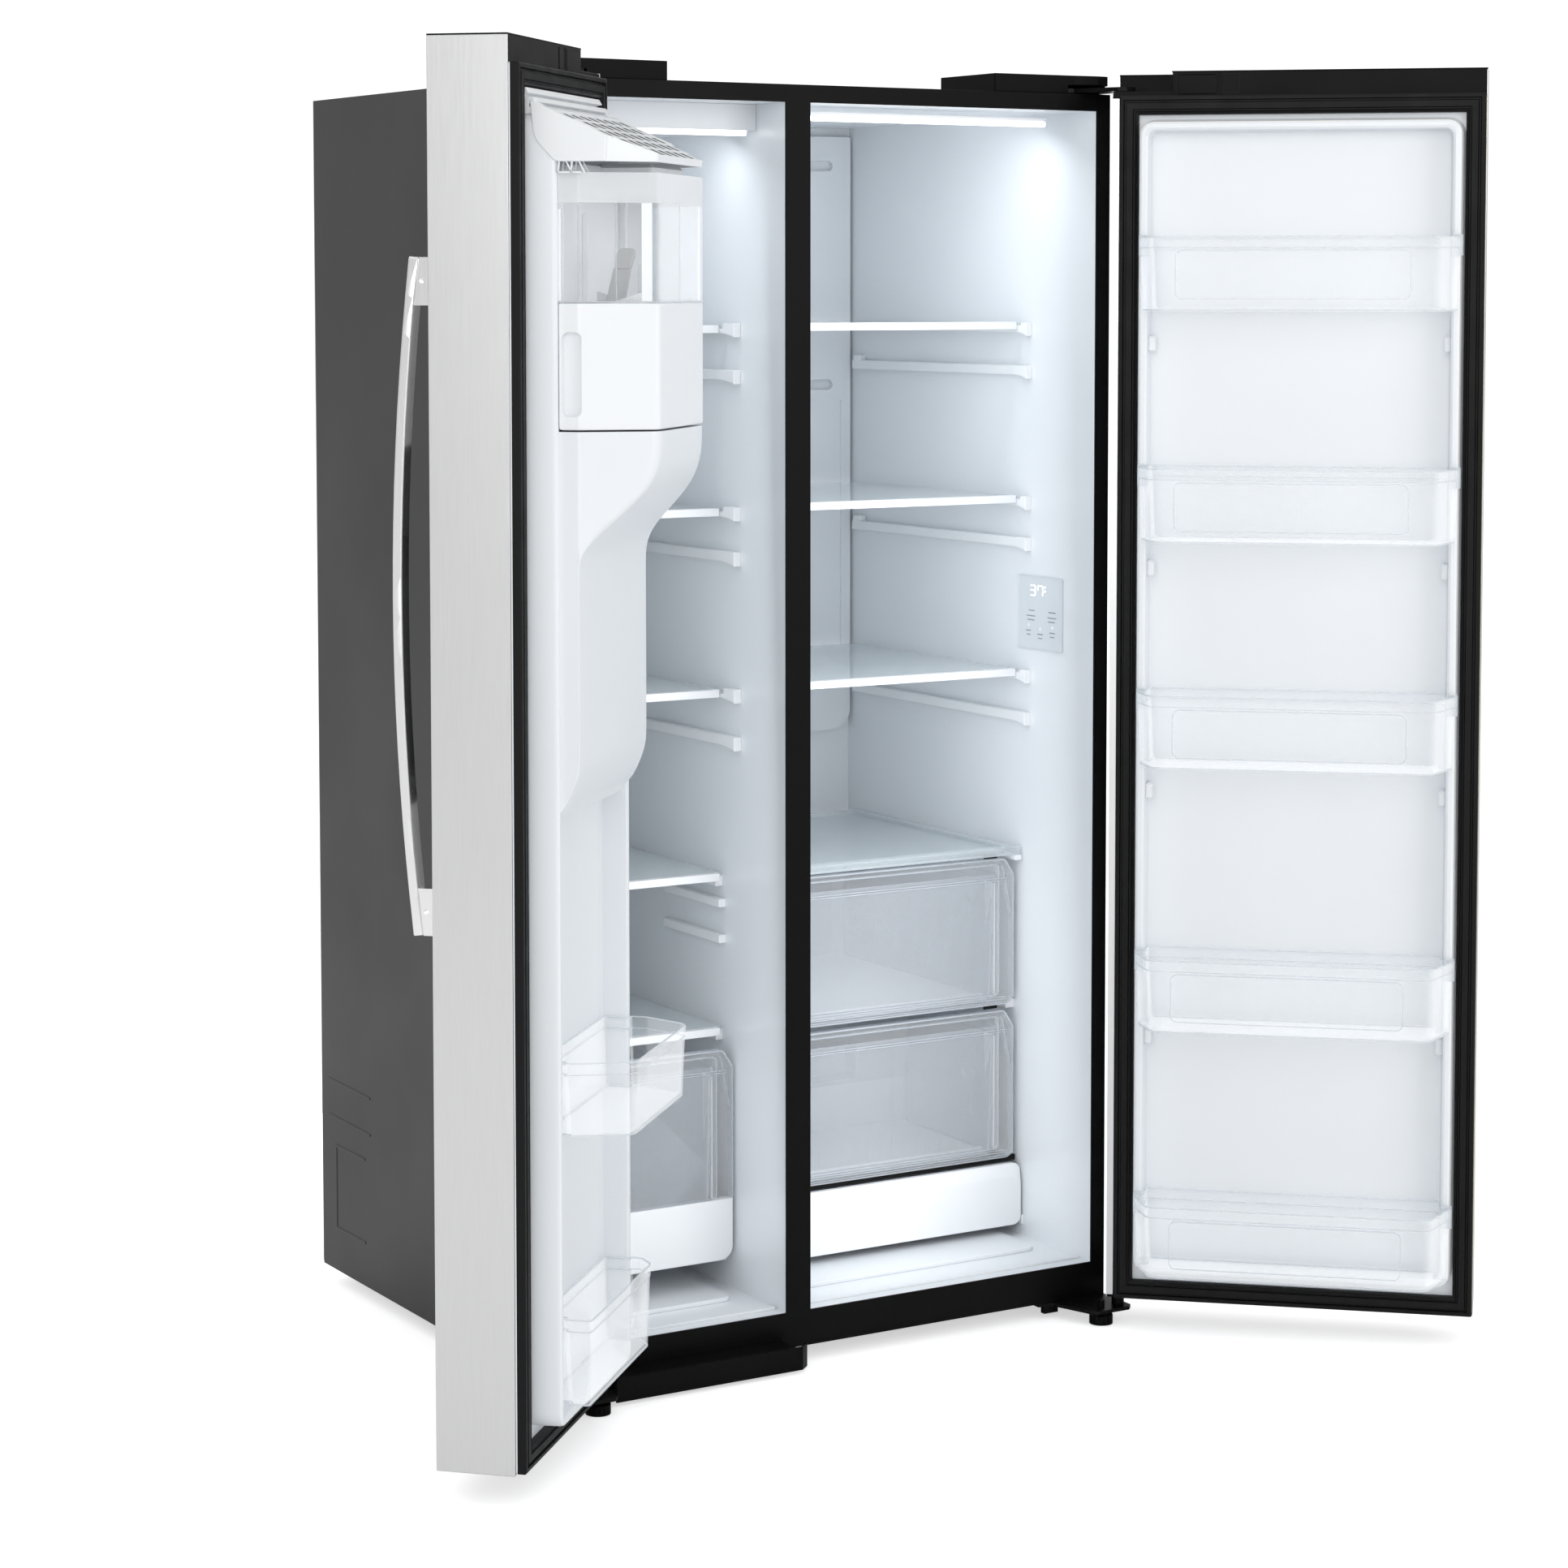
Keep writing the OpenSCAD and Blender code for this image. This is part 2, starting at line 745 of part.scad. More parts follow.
// Steel wrapper; hinge is +1 when the hinge is on the right
module door_skin(x0, x1, hinge) {
    difference() {
        block([x0, door_front, door_bottom], [x1, door_rear, skin_top]);
        block([x0 + sheet, door_front + sheet, 0], [x1 - sheet, 0, cap_top]);
        hinge_notch(x0, x1, hinge);
    }
    lip_x0 = hinge > 0 ? x1 - 10 : x0;
    block([lip_x0, door_rear - sheet, door_bottom + 4], [lip_x0 + 10, door_rear, door_top - 4]);
}

// What fills a door between its skin and its liner, without the raised rim
module door_core(x0, x1) {
    block([x0 + sheet, door_front + sheet, door_bottom + 6.2], [x1 - sheet, door_rear - sheet, door_top - 6.2]);
}

// Raised rim of a door liner, drawn smaller by t
module dyke(x0, x1, t) {
    upright(x0 + t, x1 - t, dyke_z0 + t, dyke_z1 - t, door_rear - flange_t, dyke_y - t, 20 - t);
}

// Hollow inside the rim, drawn larger by t
module dyke_recess(x0, x1, t) {
    upright(x0 + dyke_rim - t, x1 - dyke_rim + t, dyke_z0 + dyke_rim - t, dyke_z1 - dyke_rim + t,
            recess_y - t, dyke_y + 5, 4 + t);
}

module gasket(x0, x1) {
    difference() {
        block([x0, door_rear + flange_t, gasket_z0], [x1, gasket_face, gasket_z1]);
        block([x0 + gasket_w, door_rear, gasket_z0 + gasket_w], [x1 - gasket_w, 1, gasket_z1 - gasket_w]);
        // Bellows groove round the face
        difference() {
            block([x0 + 7, gasket_face - 4, gasket_z0 + 7], [x1 - 7, 1, gasket_z1 - 7]);
            block([x0 + 10, -20, gasket_z0 + 10], [x1 - 10, 2, gasket_z1 - 10]);
        }
    }
}

// Plastic end caps of a door, with the bearings for both hinge pins
// Corner of a door's top that leaves room for the hinge arm
module hinge_notch(x0, x1, hinge) {
    notch_x0 = hinge > 0 ? x1 - 83 : x0 - 1;
    notch_x1 = hinge > 0 ? x1 + 1 : x0 + 83;
    block([notch_x0, door_front + 18, case_top + 0.8], [notch_x1, door_rear + 1, cap_top + 1]);
}

module door_caps(x0, x1, hinge) {
    pin_x = hinge * hinge_x;
    difference() {
        union() {
            block([x0 + sheet, door_front + sheet, door_bottom], [x1 - sheet, door_rear - sheet, door_bottom + 6]);
            rod_z(door_bottom, door_bottom + 24, pin_x, hinge_y, 11);
        }
        rod_z(door_bottom - 1, door_bottom + 20, pin_x, hinge_y, hinge_pin_r + running_gap);
    }
    difference() {
        union() {
            block([x0, door_front, skin_top], [x1, door_rear, cap_top]);
            block([x0 + sheet, door_front + sheet, door_top], [x1 - sheet, door_rear, skin_top + 1]);
            block([x0 + sheet, door_front + sheet, door_top - 6], [x1 - sheet, door_rear - sheet, door_top + 1]);
            rod_z(door_top - 30, door_top + 1, pin_x, hinge_y, 11);
        }
        hinge_notch(x0, x1, hinge);
        rod_z(door_top - 24, cap_top + 1, pin_x, hinge_y, hinge_pin_r + running_gap);
    }
}

// Space that the two bearings take from the core
module bearing_space(hinge) {
    rod_z(door_bottom, door_bottom + 24.2, hinge * hinge_x, hinge_y, 11.1);
    rod_z(door_top - 30.2, door_top, hinge * hinge_x, hinge_y, 11.1);
}

handle_mid = (handle_low + handle_high) / 2;
handle_half = (handle_high - handle_low) / 2;
handle_bow = handle_reach - handle_end_reach;
handle_r = (pow(handle_half, 2) + pow(handle_bow, 2)) / (2 * handle_bow);
handle_w = 28;
handle_t = 12;
handle_inset = 28;

module handle_bar(x) {
    half_angle = asin(handle_half / handle_r);
    translate([x, door_front - handle_reach + handle_r, handle_mid])
        rotate([0, 90, 0])
            rotate([0, 0, -90 - half_angle])
                rotate_extrude(angle = 2 * half_angle, $fn = 1800)
                    translate([handle_r - handle_t, -handle_w / 2]) square([handle_t, handle_w]);
}

// Inner face of the bar at height z
function bar_inner(z) = door_front - handle_reach + handle_r
    - sqrt(pow(handle_r - handle_t, 2) - pow(z - handle_mid, 2));

// The set-screws face the door's free edge, which lies towards free = 1 or -1
module handle_mounts(x, free) {
    mount_h = 60;
    for (z = [handle_low + 1, handle_high - mount_h + 1]) {
        z1 = z + mount_h - 2;
        difference() {
            along_x(x - 12, x + 12, [[door_front, z], [bar_inner(z), z], [bar_inner(z1), z1], [door_front, z1]]);
            rod_x(x + 18 * free - 12, x + 18 * free + 12, door_front - 13, z + mount_h / 2, 3.2);
        }
    }
}

// ---- Freezer door ----

f_in0 = freezer_door_x0 + 11;
f_in1 = freezer_door_x1 - 1.5;
f_dyke0 = freezer_door_x0 + 42;
f_dyke1 = freezer_door_x1 - 31.5;

// Plan of the ice housing, drawn smaller by t
function housing_plan(t) = [
    [f_dyke1 - 5 - t, 20], [f_dyke1 - 5 - t, bulge_front - t / 2], [-150 - t, housing_front - t],
    [-355 + t, housing_front - t], [f_dyke0 + 7 + t, bulge_front - t / 2], [f_dyke0 + 7 + t, 20]
];

// Side section of the housing: low bulge round the dispenser, then out to the ice bin
function housing_section(t) = concat(
    [[0, housing_top - t], [0, 842 + t], [dyke_y - t, 842 + t], [44 - t, 846 + t],
     [bulge_front - 4 - t, 862 + t], [bulge_front - t, 880 + t], [bulge_front - t, 1168 + t]],
    [for (a = [0 : 15 : 90]) [bulge_front - t + 26 * (1 - cos(a)), 1168 + t + 20 * sin(a)]],
    [for (a = [30 : 15 : 90]) [housing_front - t - 45 + 45 * sin(a), 1250 + t - 45 * cos(a)]],
    [[housing_front - t, housing_top - t]]
);

module housing(t) {
    intersection() {
        plan(800, housing_top - t, housing_plan(t));
        along_x(f_dyke0, f_dyke1, housing_section(t));
    }
}

module chute(t) {
    block([chute_x0 - t, chute_y0 - t, disp_z1], [chute_x1 + t, chute_y1 + t, housing_top + 1]);
}

module tub_space() {
    block([disp_x0 - tub_t, door_front - 1, disp_z0 - tub_t], [disp_x1 + tub_t, disp_back + tub_t, disp_z1 + tub_t]);
}

module freezer_door_skin() color(steel) swing_freezer_door() {
    difference() {
        door_skin(freezer_door_x0, freezer_door_x1, -1);
        tub_space();
    }
}

module freezer_door_foam() color(foam_yellow) swing_freezer_door() {
    difference() {
        union() {
            door_core(freezer_door_x0, freezer_door_x1);
            difference() {
                dyke(f_dyke0, f_dyke1, liner_t);
                dyke_recess(f_dyke0, f_dyke1, liner_t);
            }
            intersection() {
                dyke(f_dyke0, f_dyke1, liner_t);
                block([-half_w, door_rear - 4, dyke_z0], [0, recess_y - liner_t, dyke_z1]);
            }
            housing(liner_t);
        }
        bearing_space(-1);
        tub_space();
        chute(tub_t);
    }
}

module freezer_door_liner() color(white) swing_freezer_door() {
    difference() {
        union() {
            block([f_in0, door_rear, gasket_z0], [f_in1, door_rear + flange_t, gasket_z1]);
            difference() {
                dyke(f_dyke0, f_dyke1, 0);
                dyke_recess(f_dyke0, f_dyke1, 0);
            }
            housing(0);
        }
        block([f_in0 - 1, door_front, 0], [f_in1 + 1, door_rear, cap_top]);
        difference() {
            dyke(f_dyke0, f_dyke1, liner_t);
            dyke_recess(f_dyke0, f_dyke1, liner_t);
        }
        intersection() {
            dyke(f_dyke0, f_dyke1, liner_t);
            block([-half_w, door_rear - 4, dyke_z0], [0, recess_y - liner_t, dyke_z1]);
        }
        housing(liner_t);
        tub_space();
        chute(tub_t);
    }
}

module freezer_door_gasket() color(black) swing_freezer_door() gasket(f_in0, f_in1);

module freezer_door_caps() color(black) swing_freezer_door()
    door_caps(freezer_door_x0, freezer_door_x1, -1);

module freezer_handle_bar() color(steel) swing_freezer_door()
    handle_bar(freezer_door_x1 - handle_inset);

module freezer_handle_mounts() color(steel) swing_freezer_door()
    handle_mounts(freezer_door_x1 - handle_inset, 1);

// Plan of a part that hangs between the rims and then widens in front of them
function bin_plan(back, wide0, wide1, front0, front1, shoulder, front, t) = [
    [back[0] + t, 3 + t], [back[1] - t, 3 + t], [back[1] - t, dyke_y + 2 + t], [wide1 - t, dyke_y + 2 + t],
    [wide1 - t, shoulder[1]], [front1 - t * 0.8, front - t], [front0 + t * 0.8, front - t],
    [wide0 + t, shoulder[0]], [wide0 + t, dyke_y + 2 + t], [back[0] + t, dyke_y + 2 + t]
];

function ice_plan(t) = bin_plan([-394, -119], -403, -107, -355, -150, [62, 62], housing_front, t);

module ice_bin() color(clear) swing_freezer_door() {
    difference() {
        plan(bin_base_top + 0.1, bin_top, ice_plan(0));
        plan(bin_base_top - 1, bin_top + 1, ice_plan(bin_wall));
        block([-390, -5, 1558], [-122, 20, bin_top + 1]);
    }
}

module ice_bin_base() color(white) swing_freezer_door() {
    difference() {
        plan(bin_base_z, bin_base_top, ice_plan(0));
        plan(bin_base_z + 3, bin_base_top + 1, ice_plan(3));
        block([chute_x0 + 5, 8, bin_base_z - 1], [chute_x1 - 5, 42, bin_base_z + 5]);
        // Grip pocket on the free side
        block([-111, 45, 1345], [-100, 80, 1440]);
    }
    // Bosses that carry the auger's shaft
    difference() {
        intersection() {
            plan(bin_base_z, bin_base_top, ice_plan(1));
            for (x = [-404, -137]) {
                block([x, auger_y - 12, auger_z - 12], [x + 33, auger_y + 12, bin_base_top - 0.1]);
            }
        }
        rod_x(-384.5, -120, auger_y, auger_z, 4);
    }
}

module ice_auger() color([0.62, 0.64, 0.66]) swing_freezer_door() {
    rod_x(-376 - 8, -136 + 6, auger_y, auger_z, 4 - running_gap);
    for (i = [0 : 4]) {
        translate([-350 + i * 44, auger_y, auger_z])
            rotate([i * 72, 0, 0])
                translate([0, -9, 2]) cube([6, 18, auger_r - 2]);
    }
}

// Plan of the hood over the ice bin, drawn smaller by t
function hood_plan(t) = [
    [-392 + t, 4], [-118 - t, 4], [-118 - t, 92 - t / 2], [-148 - t, 149 - t], [-357 + t, 149 - t],
    [-392 + t, 84 - t / 2]
];

module ice_hood() color(white) swing_freezer_door() {
    roof = [[4, 1703], [20, 1701], [60, 1692], [100, 1674], [149, 1648], [149, 1641], [98, 1666], [60, 1683],
            [20, 1695], [4, 1696]];
    cheek_side = [[4, 1700], [4, 1640], [26, 1638], [60, 1641], [149, 1641], [149, 1647], [100, 1672], [60, 1690],
                  [20, 1701]];
    difference() {
        intersection() {
            along_x(-392, -118, roof);
            plan(1630, 1710, hood_plan(0));
        }
        for (i = [1 : 6]) {
            for (y = [50, 76, 102]) {
                block([-380 + i * 32, y, 1630], [-356 + i * 32, y + 18, 1720]);
            }
        }
    }
    intersection() {
        along_x(-392, -118, cheek_side);
        difference() {
            plan(1630, 1710, hood_plan(0));
            plan(1629, 1711, hood_plan(3));
            block([-389, 0, 1629], [-121, 7, 1711]);
        }
    }
}

module ice_maker() color(white) swing_freezer_door() {
    difference() {
        block([-350, 24, 1572], [-165, 128, 1640]);
        for (i = [0 : 6]) {
            block([-344 + i * 26, 32, 1600], [-322 + i * 26, 120, 1641]);
        }
    }
    block([-165.1, 40, 1580], [-140, 110, 1636]);
    block([-340, recess_y, 1590], [-180, 24.1, 1634]);
}

module freezer_bin(z0, h, outline_0, outline_1) {
    difference() {
        plan(z0, z0 + h, outline_0);
        plan(z0 + bin_wall, z0 + h + 1, outline_1);
    }
}

function upper_plan(t) = bin_plan([-396, -116], -405, -105, -372, -135, [60, 42], 122, t);
function lower_plan(t) = bin_plan([-396, -116], -402, -106, -376, -110, [52, 66], 72, t);

module freezer_door_bins() color(clear) swing_freezer_door() {
    freezer_bin(455, 92, upper_plan(0), upper_plan(bin_wall));
    freezer_bin(122, 108, lower_plan(0), lower_plan(bin_wall));
}

module dispenser_panel() color(black) swing_freezer_door() {
    difference() {
        upright(disp_x0 - 14, disp_x1 + 14, disp_z0 - 16, disp_z1 + 110, door_front - 3, door_front, 10);
        upright(disp_x0, disp_x1, disp_z0, disp_z1, door_front - 4, door_front + 1, 6);
    }
}

module dispenser_recess() color([0.12, 0.12, 0.13]) swing_freezer_door() {
    difference() {
        union() {
            block([disp_x0 - tub_t, door_front, disp_z0 - tub_t], [disp_x1 + tub_t, disp_back + tub_t, disp_z1 + tub_t]);
            block([chute_x0 - tub_t, chute_y0 - tub_t, disp_z1], [chute_x1 + tub_t, chute_y1 + tub_t, housing_top]);
        }
        block([disp_x0, door_front - 1, disp_z0], [disp_x1, disp_back, disp_z1]);
        block([chute_x0, chute_y0, disp_z1 - 5], [chute_x1, chute_y1, housing_top + 1]);
    }
    // Ears that carry the paddle, and the nozzle
    for (x = [-296, -220]) {
        difference() {
            block([x, paddle_y - 8, paddle_z - 8], [x + 6, paddle_y + 8, disp_z1 + 1]);
            rod_x(x - 1, x + 7, paddle_y, paddle_z, paddle_pin_r + running_gap);
        }
    }
    difference() {
        block([-282, -34, disp_z1 - 34], [-228, -12, disp_z1 + 1]);
        rod_z(disp_z1 - 35, disp_z1 - 4, -255, -23, 6);
    }
}

module dispenser_paddle() color([0.3, 0.3, 0.32]) swing_freezer_door() {
    rod_x(-298, -212, paddle_y, paddle_z, paddle_pin_r);
    block([-286, paddle_y - 3, paddle_z - 150], [-224, paddle_y + 3, paddle_z]);
}

module drip_tray() color([0.25, 0.25, 0.27]) swing_freezer_door() {
    difference() {
        block([disp_x0 + 2, door_front + 4, disp_z0], [disp_x1 - 2, disp_back - 30, disp_z0 + 14]);
        block([disp_x0 + 5, door_front + 7, disp_z0 + 3], [disp_x1 - 5, disp_back - 33, disp_z0 + 11]);
        for (x = [disp_x0 + 14 : 12 : disp_x1 - 20]) {
            block([x, door_front + 14, disp_z0 + 8], [x + 6, disp_back - 42, disp_z0 + 15]);
        }
    }
}

// ---- Fresh food door ----

r_in0 = fridge_door_x0 + 1.5;
r_in1 = fridge_door_x1 - 11;
r_dyke0 = fridge_door_x0 + 31.5;
r_dyke1 = fridge_door_x1 - 42;

module fridge_door_skin() color(steel) swing_fridge_door()
    door_skin(fridge_door_x0, fridge_door_x1, 1);

module fridge_core_shape() {
    door_core(fridge_door_x0, fridge_door_x1);
    difference() {
        dyke(r_dyke0, r_dyke1, liner_t);
        dyke_recess(r_dyke0, r_dyke1, liner_t);
    }
}

module fridge_door_foam() color(foam_yellow) swing_fridge_door() {
    difference() {
        union() {
            fridge_core_shape();
            intersection() {
                dyke(r_dyke0, r_dyke1, liner_t);
                block([r_dyke0, door_rear - 4, dyke_z0], [r_dyke1, recess_y - liner_t, dyke_z1]);
            }
        }
        bearing_space(1);
    }
}

module fridge_door_liner() color(white) swing_fridge_door() {
    difference() {
        union() {
            block([r_in0, door_rear, gasket_z0], [r_in1, door_rear + flange_t, gasket_z1]);
            difference() {
                dyke(r_dyke0, r_dyke1, 0);
                dyke_recess(r_dyke0, r_dyke1, 0);
            }
        }
        block([r_in0 - 1, door_front, 0], [r_in1 + 1, door_rear, cap_top]);
        difference() {
            dyke(r_dyke0, r_dyke1, liner_t);
            dyke_recess(r_dyke0, r_dyke1, liner_t);
        }
        intersection() {
            dyke(r_dyke0, r_dyke1, liner_t);
            block([r_dyke0, door_rear - 4, dyke_z0], [r_dyke1, recess_y - liner_t, dyke_z1]);
        }
    }
    // Bosses between the bins
    for (z = [1400, 1085, 770, 420]) {
        for (x = [r_dyke0 + dyke_rim, r_dyke1 - dyke_rim - 8]) {
            block([x, 6, z], [x + 8, 26, z + 16]);
        }
    }
}

module fridge_door_gasket() color(black) swing_fridge_door() gasket(r_in0, r_in1);

module fridge_door_caps() color(black) swing_fridge_door()
    door_caps(fridge_door_x0, fridge_door_x1, 1);

module fridge_handle_bar() color(steel) swing_fridge_door()
    handle_bar(fridge_door_x0 + handle_inset);

module fridge_handle_mounts() color(steel) swing_fridge_door()
    handle_mounts(fridge_door_x0 + handle_inset, -1);

function fridge_bin_plan(t) = bin_plan(
    [r_dyke0 + 16, r_dyke1 - 16], r_dyke0, r_dyke1 - 5, -6, 384, [45, 60], 118, t
);

module fridge_door_bins() color(clear) swing_fridge_door() {
    for (z = fridge_bin_z) {
        difference() {
            plan(z, z + fridge_bin_h, fridge_bin_plan(0));
            plan(z + bin_wall, z + fridge_bin_h + 1, fridge_bin_plan(bin_wall));
        }
    }
}

outer_case();
foam_insulation();
freezer_liner();
fridge_liner();
front_frame();
rear_panel();
compressor_cover();
base_plate();
compressor();
condenser();
condenser_fan();
drain_pan();
water_valve();
cord_grommet();
kick_plate();
top_hinges();
hinge_covers();
lower_hinges();
front_feet();
left_roller();
right_roller();
light_strips();
control_panel();
air_duct();
evaporator_cover();
glass_shelves();
shelf_trims();
shelf_rails();
crisper_lid();
water_filter();
filter_cover();
upper_crisper();
lower_crisper();
freezer_drawer();
freezer_drawer_front();
freezer_door_skin();
freezer_door_foam();
freezer_door_liner();
freezer_door_gasket();
freezer_door_caps();
freezer_handle_bar();
freezer_handle_mounts();
ice_hood();
ice_maker();
ice_bin();
ice_bin_base();
ice_auger();
freezer_door_bins();
dispenser_panel();
dispenser_recess();
dispenser_paddle();
drip_tray();
fridge_door_skin();
fridge_door_foam();
fridge_door_liner();
fridge_door_gasket();
fridge_door_caps();
fridge_handle_bar();
fridge_handle_mounts();
fridge_door_bins();
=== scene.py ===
import json
import math

import bmesh
import bpy
from mathutils import Matrix, Vector


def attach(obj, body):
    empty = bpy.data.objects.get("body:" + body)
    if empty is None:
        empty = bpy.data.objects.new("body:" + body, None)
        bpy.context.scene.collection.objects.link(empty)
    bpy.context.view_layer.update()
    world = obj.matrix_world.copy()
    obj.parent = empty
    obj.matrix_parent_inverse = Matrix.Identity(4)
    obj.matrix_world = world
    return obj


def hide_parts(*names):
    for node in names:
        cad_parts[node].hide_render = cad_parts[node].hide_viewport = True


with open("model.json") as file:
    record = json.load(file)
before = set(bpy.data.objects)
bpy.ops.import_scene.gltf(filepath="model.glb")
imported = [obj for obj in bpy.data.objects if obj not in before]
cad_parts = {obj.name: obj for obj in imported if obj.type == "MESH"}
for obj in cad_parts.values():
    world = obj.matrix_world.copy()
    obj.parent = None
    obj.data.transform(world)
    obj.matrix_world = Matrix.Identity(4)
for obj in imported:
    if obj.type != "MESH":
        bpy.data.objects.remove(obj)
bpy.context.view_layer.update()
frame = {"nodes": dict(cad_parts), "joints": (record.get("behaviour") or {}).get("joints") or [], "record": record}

# Side by side refrigerator. Pieces are drawn in millimetres in the frame's own axes.
# Pieces on a door are drawn with the door closed and then turned open about its hinge.

MM = 0.001
NODES = frame["nodes"]


# ---- Places taken from the frame ----

def opened(joint_name):
    """Turn that takes a closed door to the pose in which the frame stands."""
    joint = next(j for j in frame["joints"] if j["name"] == joint_name)
    pin = Vector(joint["pos_m"])
    turn = Matrix.Rotation(math.radians(-joint["range_deg"][0]), 4, Vector(joint["axis"]))
    return Matrix.Translation(pin) @ turn @ Matrix.Translation(-pin)


def node_box(name, place=Matrix.Identity(4)):
    """Lowest and highest corner of a node in millimetres, measured in the axes of its own closed door."""
    back = place.inverted()
    points = [back @ v.co for v in NODES[name].data.vertices]
    low = Vector([min(p[i] for p in points) for i in range(3)]) / MM
    high = Vector([max(p[i] for p in points) for i in range(3)]) / MM
    return low, high


FREEZER_DOOR = opened("freezer_door_hinge")
FRIDGE_DOOR = opened("fridge_door_hinge")
STILL = Matrix.Identity(4)
# Bodies whose pieces are drawn on a closed door
PLACES = {"freezer_door": FREEZER_DOOR, "ice_bin": FREEZER_DOOR, "fridge_door": FRIDGE_DOOR}
HINGE_X, HINGE_Y = 441.4, -52


# ---- Materials ----

def shader_of(mat):
    return mat.node_tree.nodes["Principled BSDF"]


def new_material(name, base, rough, metallic=0.0, **sockets):
    """Material with a Principled shader; sockets are given by their names with _ for a space."""
    mat = bpy.data.materials.new(name)
    mat.use_nodes = True
    shader = shader_of(mat)
    shader.inputs["Base Color"].default_value = (*base, 1)
    shader.inputs["Roughness"].default_value = rough
    shader.inputs["Metallic"].default_value = metallic
    for socket, value in sockets.items():
        shader.inputs[socket.replace("_", " ")].default_value = value
    return mat


def add_node(mat, kind, **values):
    node = mat.node_tree.nodes.new(kind)
    for key, value in values.items():
        if key in node.inputs:
            node.inputs[key].default_value = value
        else:
            setattr(node, key, value)
    return node


def link(mat, out_socket, in_socket):
    mat.node_tree.links.new(out_socket, in_socket)


def noise(mat, scale, stretch=(1, 1, 1), detail=3.0):
    """Noise in object space, stretched along the axes where stretch is small."""
    coords = add_node(mat, "ShaderNodeTexCoord")
    mapping = add_node(mat, "ShaderNodeMapping")
    mapping.inputs["Scale"].default_value = stretch
    texture = add_node(mat, "ShaderNodeTexNoise", Scale=scale, Detail=detail)
    link(mat, coords.outputs["Object"], mapping.inputs["Vector"])
    link(mat, mapping.outputs["Vector"], texture.inputs["Vector"])
    return texture.outputs["Fac"]


def ranged(mat, source, low, high, from_low=0.3, from_high=0.7):
    node = add_node(mat, "ShaderNodeMapRange")
    node.inputs["From Min"].default_value = from_low
    node.inputs["From Max"].default_value = from_high
    node.inputs["To Min"].default_value = low
    node.inputs["To Max"].default_value = high
    link(mat, source, node.inputs["Value"])
    return node.outputs["Result"]


def tint(mat, source, dark, light):
    """Base colour that runs from dark to light as source goes from 0.3 to 0.7."""
    ramp = add_node(mat, "ShaderNodeValToRGB")
    ramp.color_ramp.elements[0].position = 0.3
    ramp.color_ramp.elements[0].color = (*dark, 1)
    ramp.color_ramp.elements[1].position = 0.7
    ramp.color_ramp.elements[1].color = (*light, 1)
    link(mat, source, ramp.inputs["Fac"])
    link(mat, ramp.outputs["Color"], shader_of(mat).inputs["Base Color"])


def bump(mat, source, strength, distance):
    node = add_node(mat, "ShaderNodeBump", Strength=strength, Distance=distance)
    link(mat, source, node.inputs["Height"])
    link(mat, node.outputs["Normal"], shader_of(mat).inputs["Normal"])


def shade(colour, factor):
    return tuple(min(1.0, c * factor) for c in colour)


def moulded(name, base, rough, vary=0.05, cloud=9, grain=900, grain_depth=0.00002, **sockets):
    """Moulded plastic or paint: soft clouds in colour and gloss, and a fine grain."""
    mat = new_material(name, base, rough, **sockets)
    shader = shader_of(mat)
    clouds = noise(mat, cloud)
    tint(mat, clouds, shade(base, 1 - vary), shade(base, 1 + vary))
    link(mat, ranged(mat, clouds, rough * 0.88, rough * 1.12), shader.inputs["Roughness"])
    bump(mat, noise(mat, grain), 0.25, grain_depth)
    return mat


def brushed(name, base, rough, grain_strength=0.2):
    """Metal with a fine vertical grain."""
    mat = new_material(name, base, rough, 1.0)
    shader = shader_of(mat)
    streaks = noise(mat, 1500, (1, 1, 0.01), 2)
    tint(mat, streaks, shade(base, 0.975), shade(base, 1.02))
    link(mat, ranged(mat, streaks, rough * 0.92, rough * 1.08), shader.inputs["Roughness"])
    bump(mat, streaks, grain_strength, 0.00002)
    return mat


def see_through(name, base, rough, face_on, edge_on, **sockets):
    """Clear plastic or glass: nearly invisible face on, and denser where the surface turns away."""
    mat = new_material(name, base, rough, **sockets)
    shader = shader_of(mat)
    facing = add_node(mat, "ShaderNodeLayerWeight", Blend=0.45)
    link(mat, ranged(mat, facing.outputs["Facing"], face_on, edge_on, 0.05, 0.95), shader.inputs["Alpha"])
    tint(mat, noise(mat, 6), shade(base, 0.97), shade(base, 1.02))
    return mat


def glowing(name, colour, strength):
    mat = moulded(name, colour, 0.4)
    shader = shader_of(mat)
    shader.inputs["Emission Color"].default_value = (*colour, 1)
    shader.inputs["Emission Strength"].default_value = strength
    return mat


WHITE = (0.82, 0.85, 0.88)
BLACK = (0.004, 0.004, 0.004)
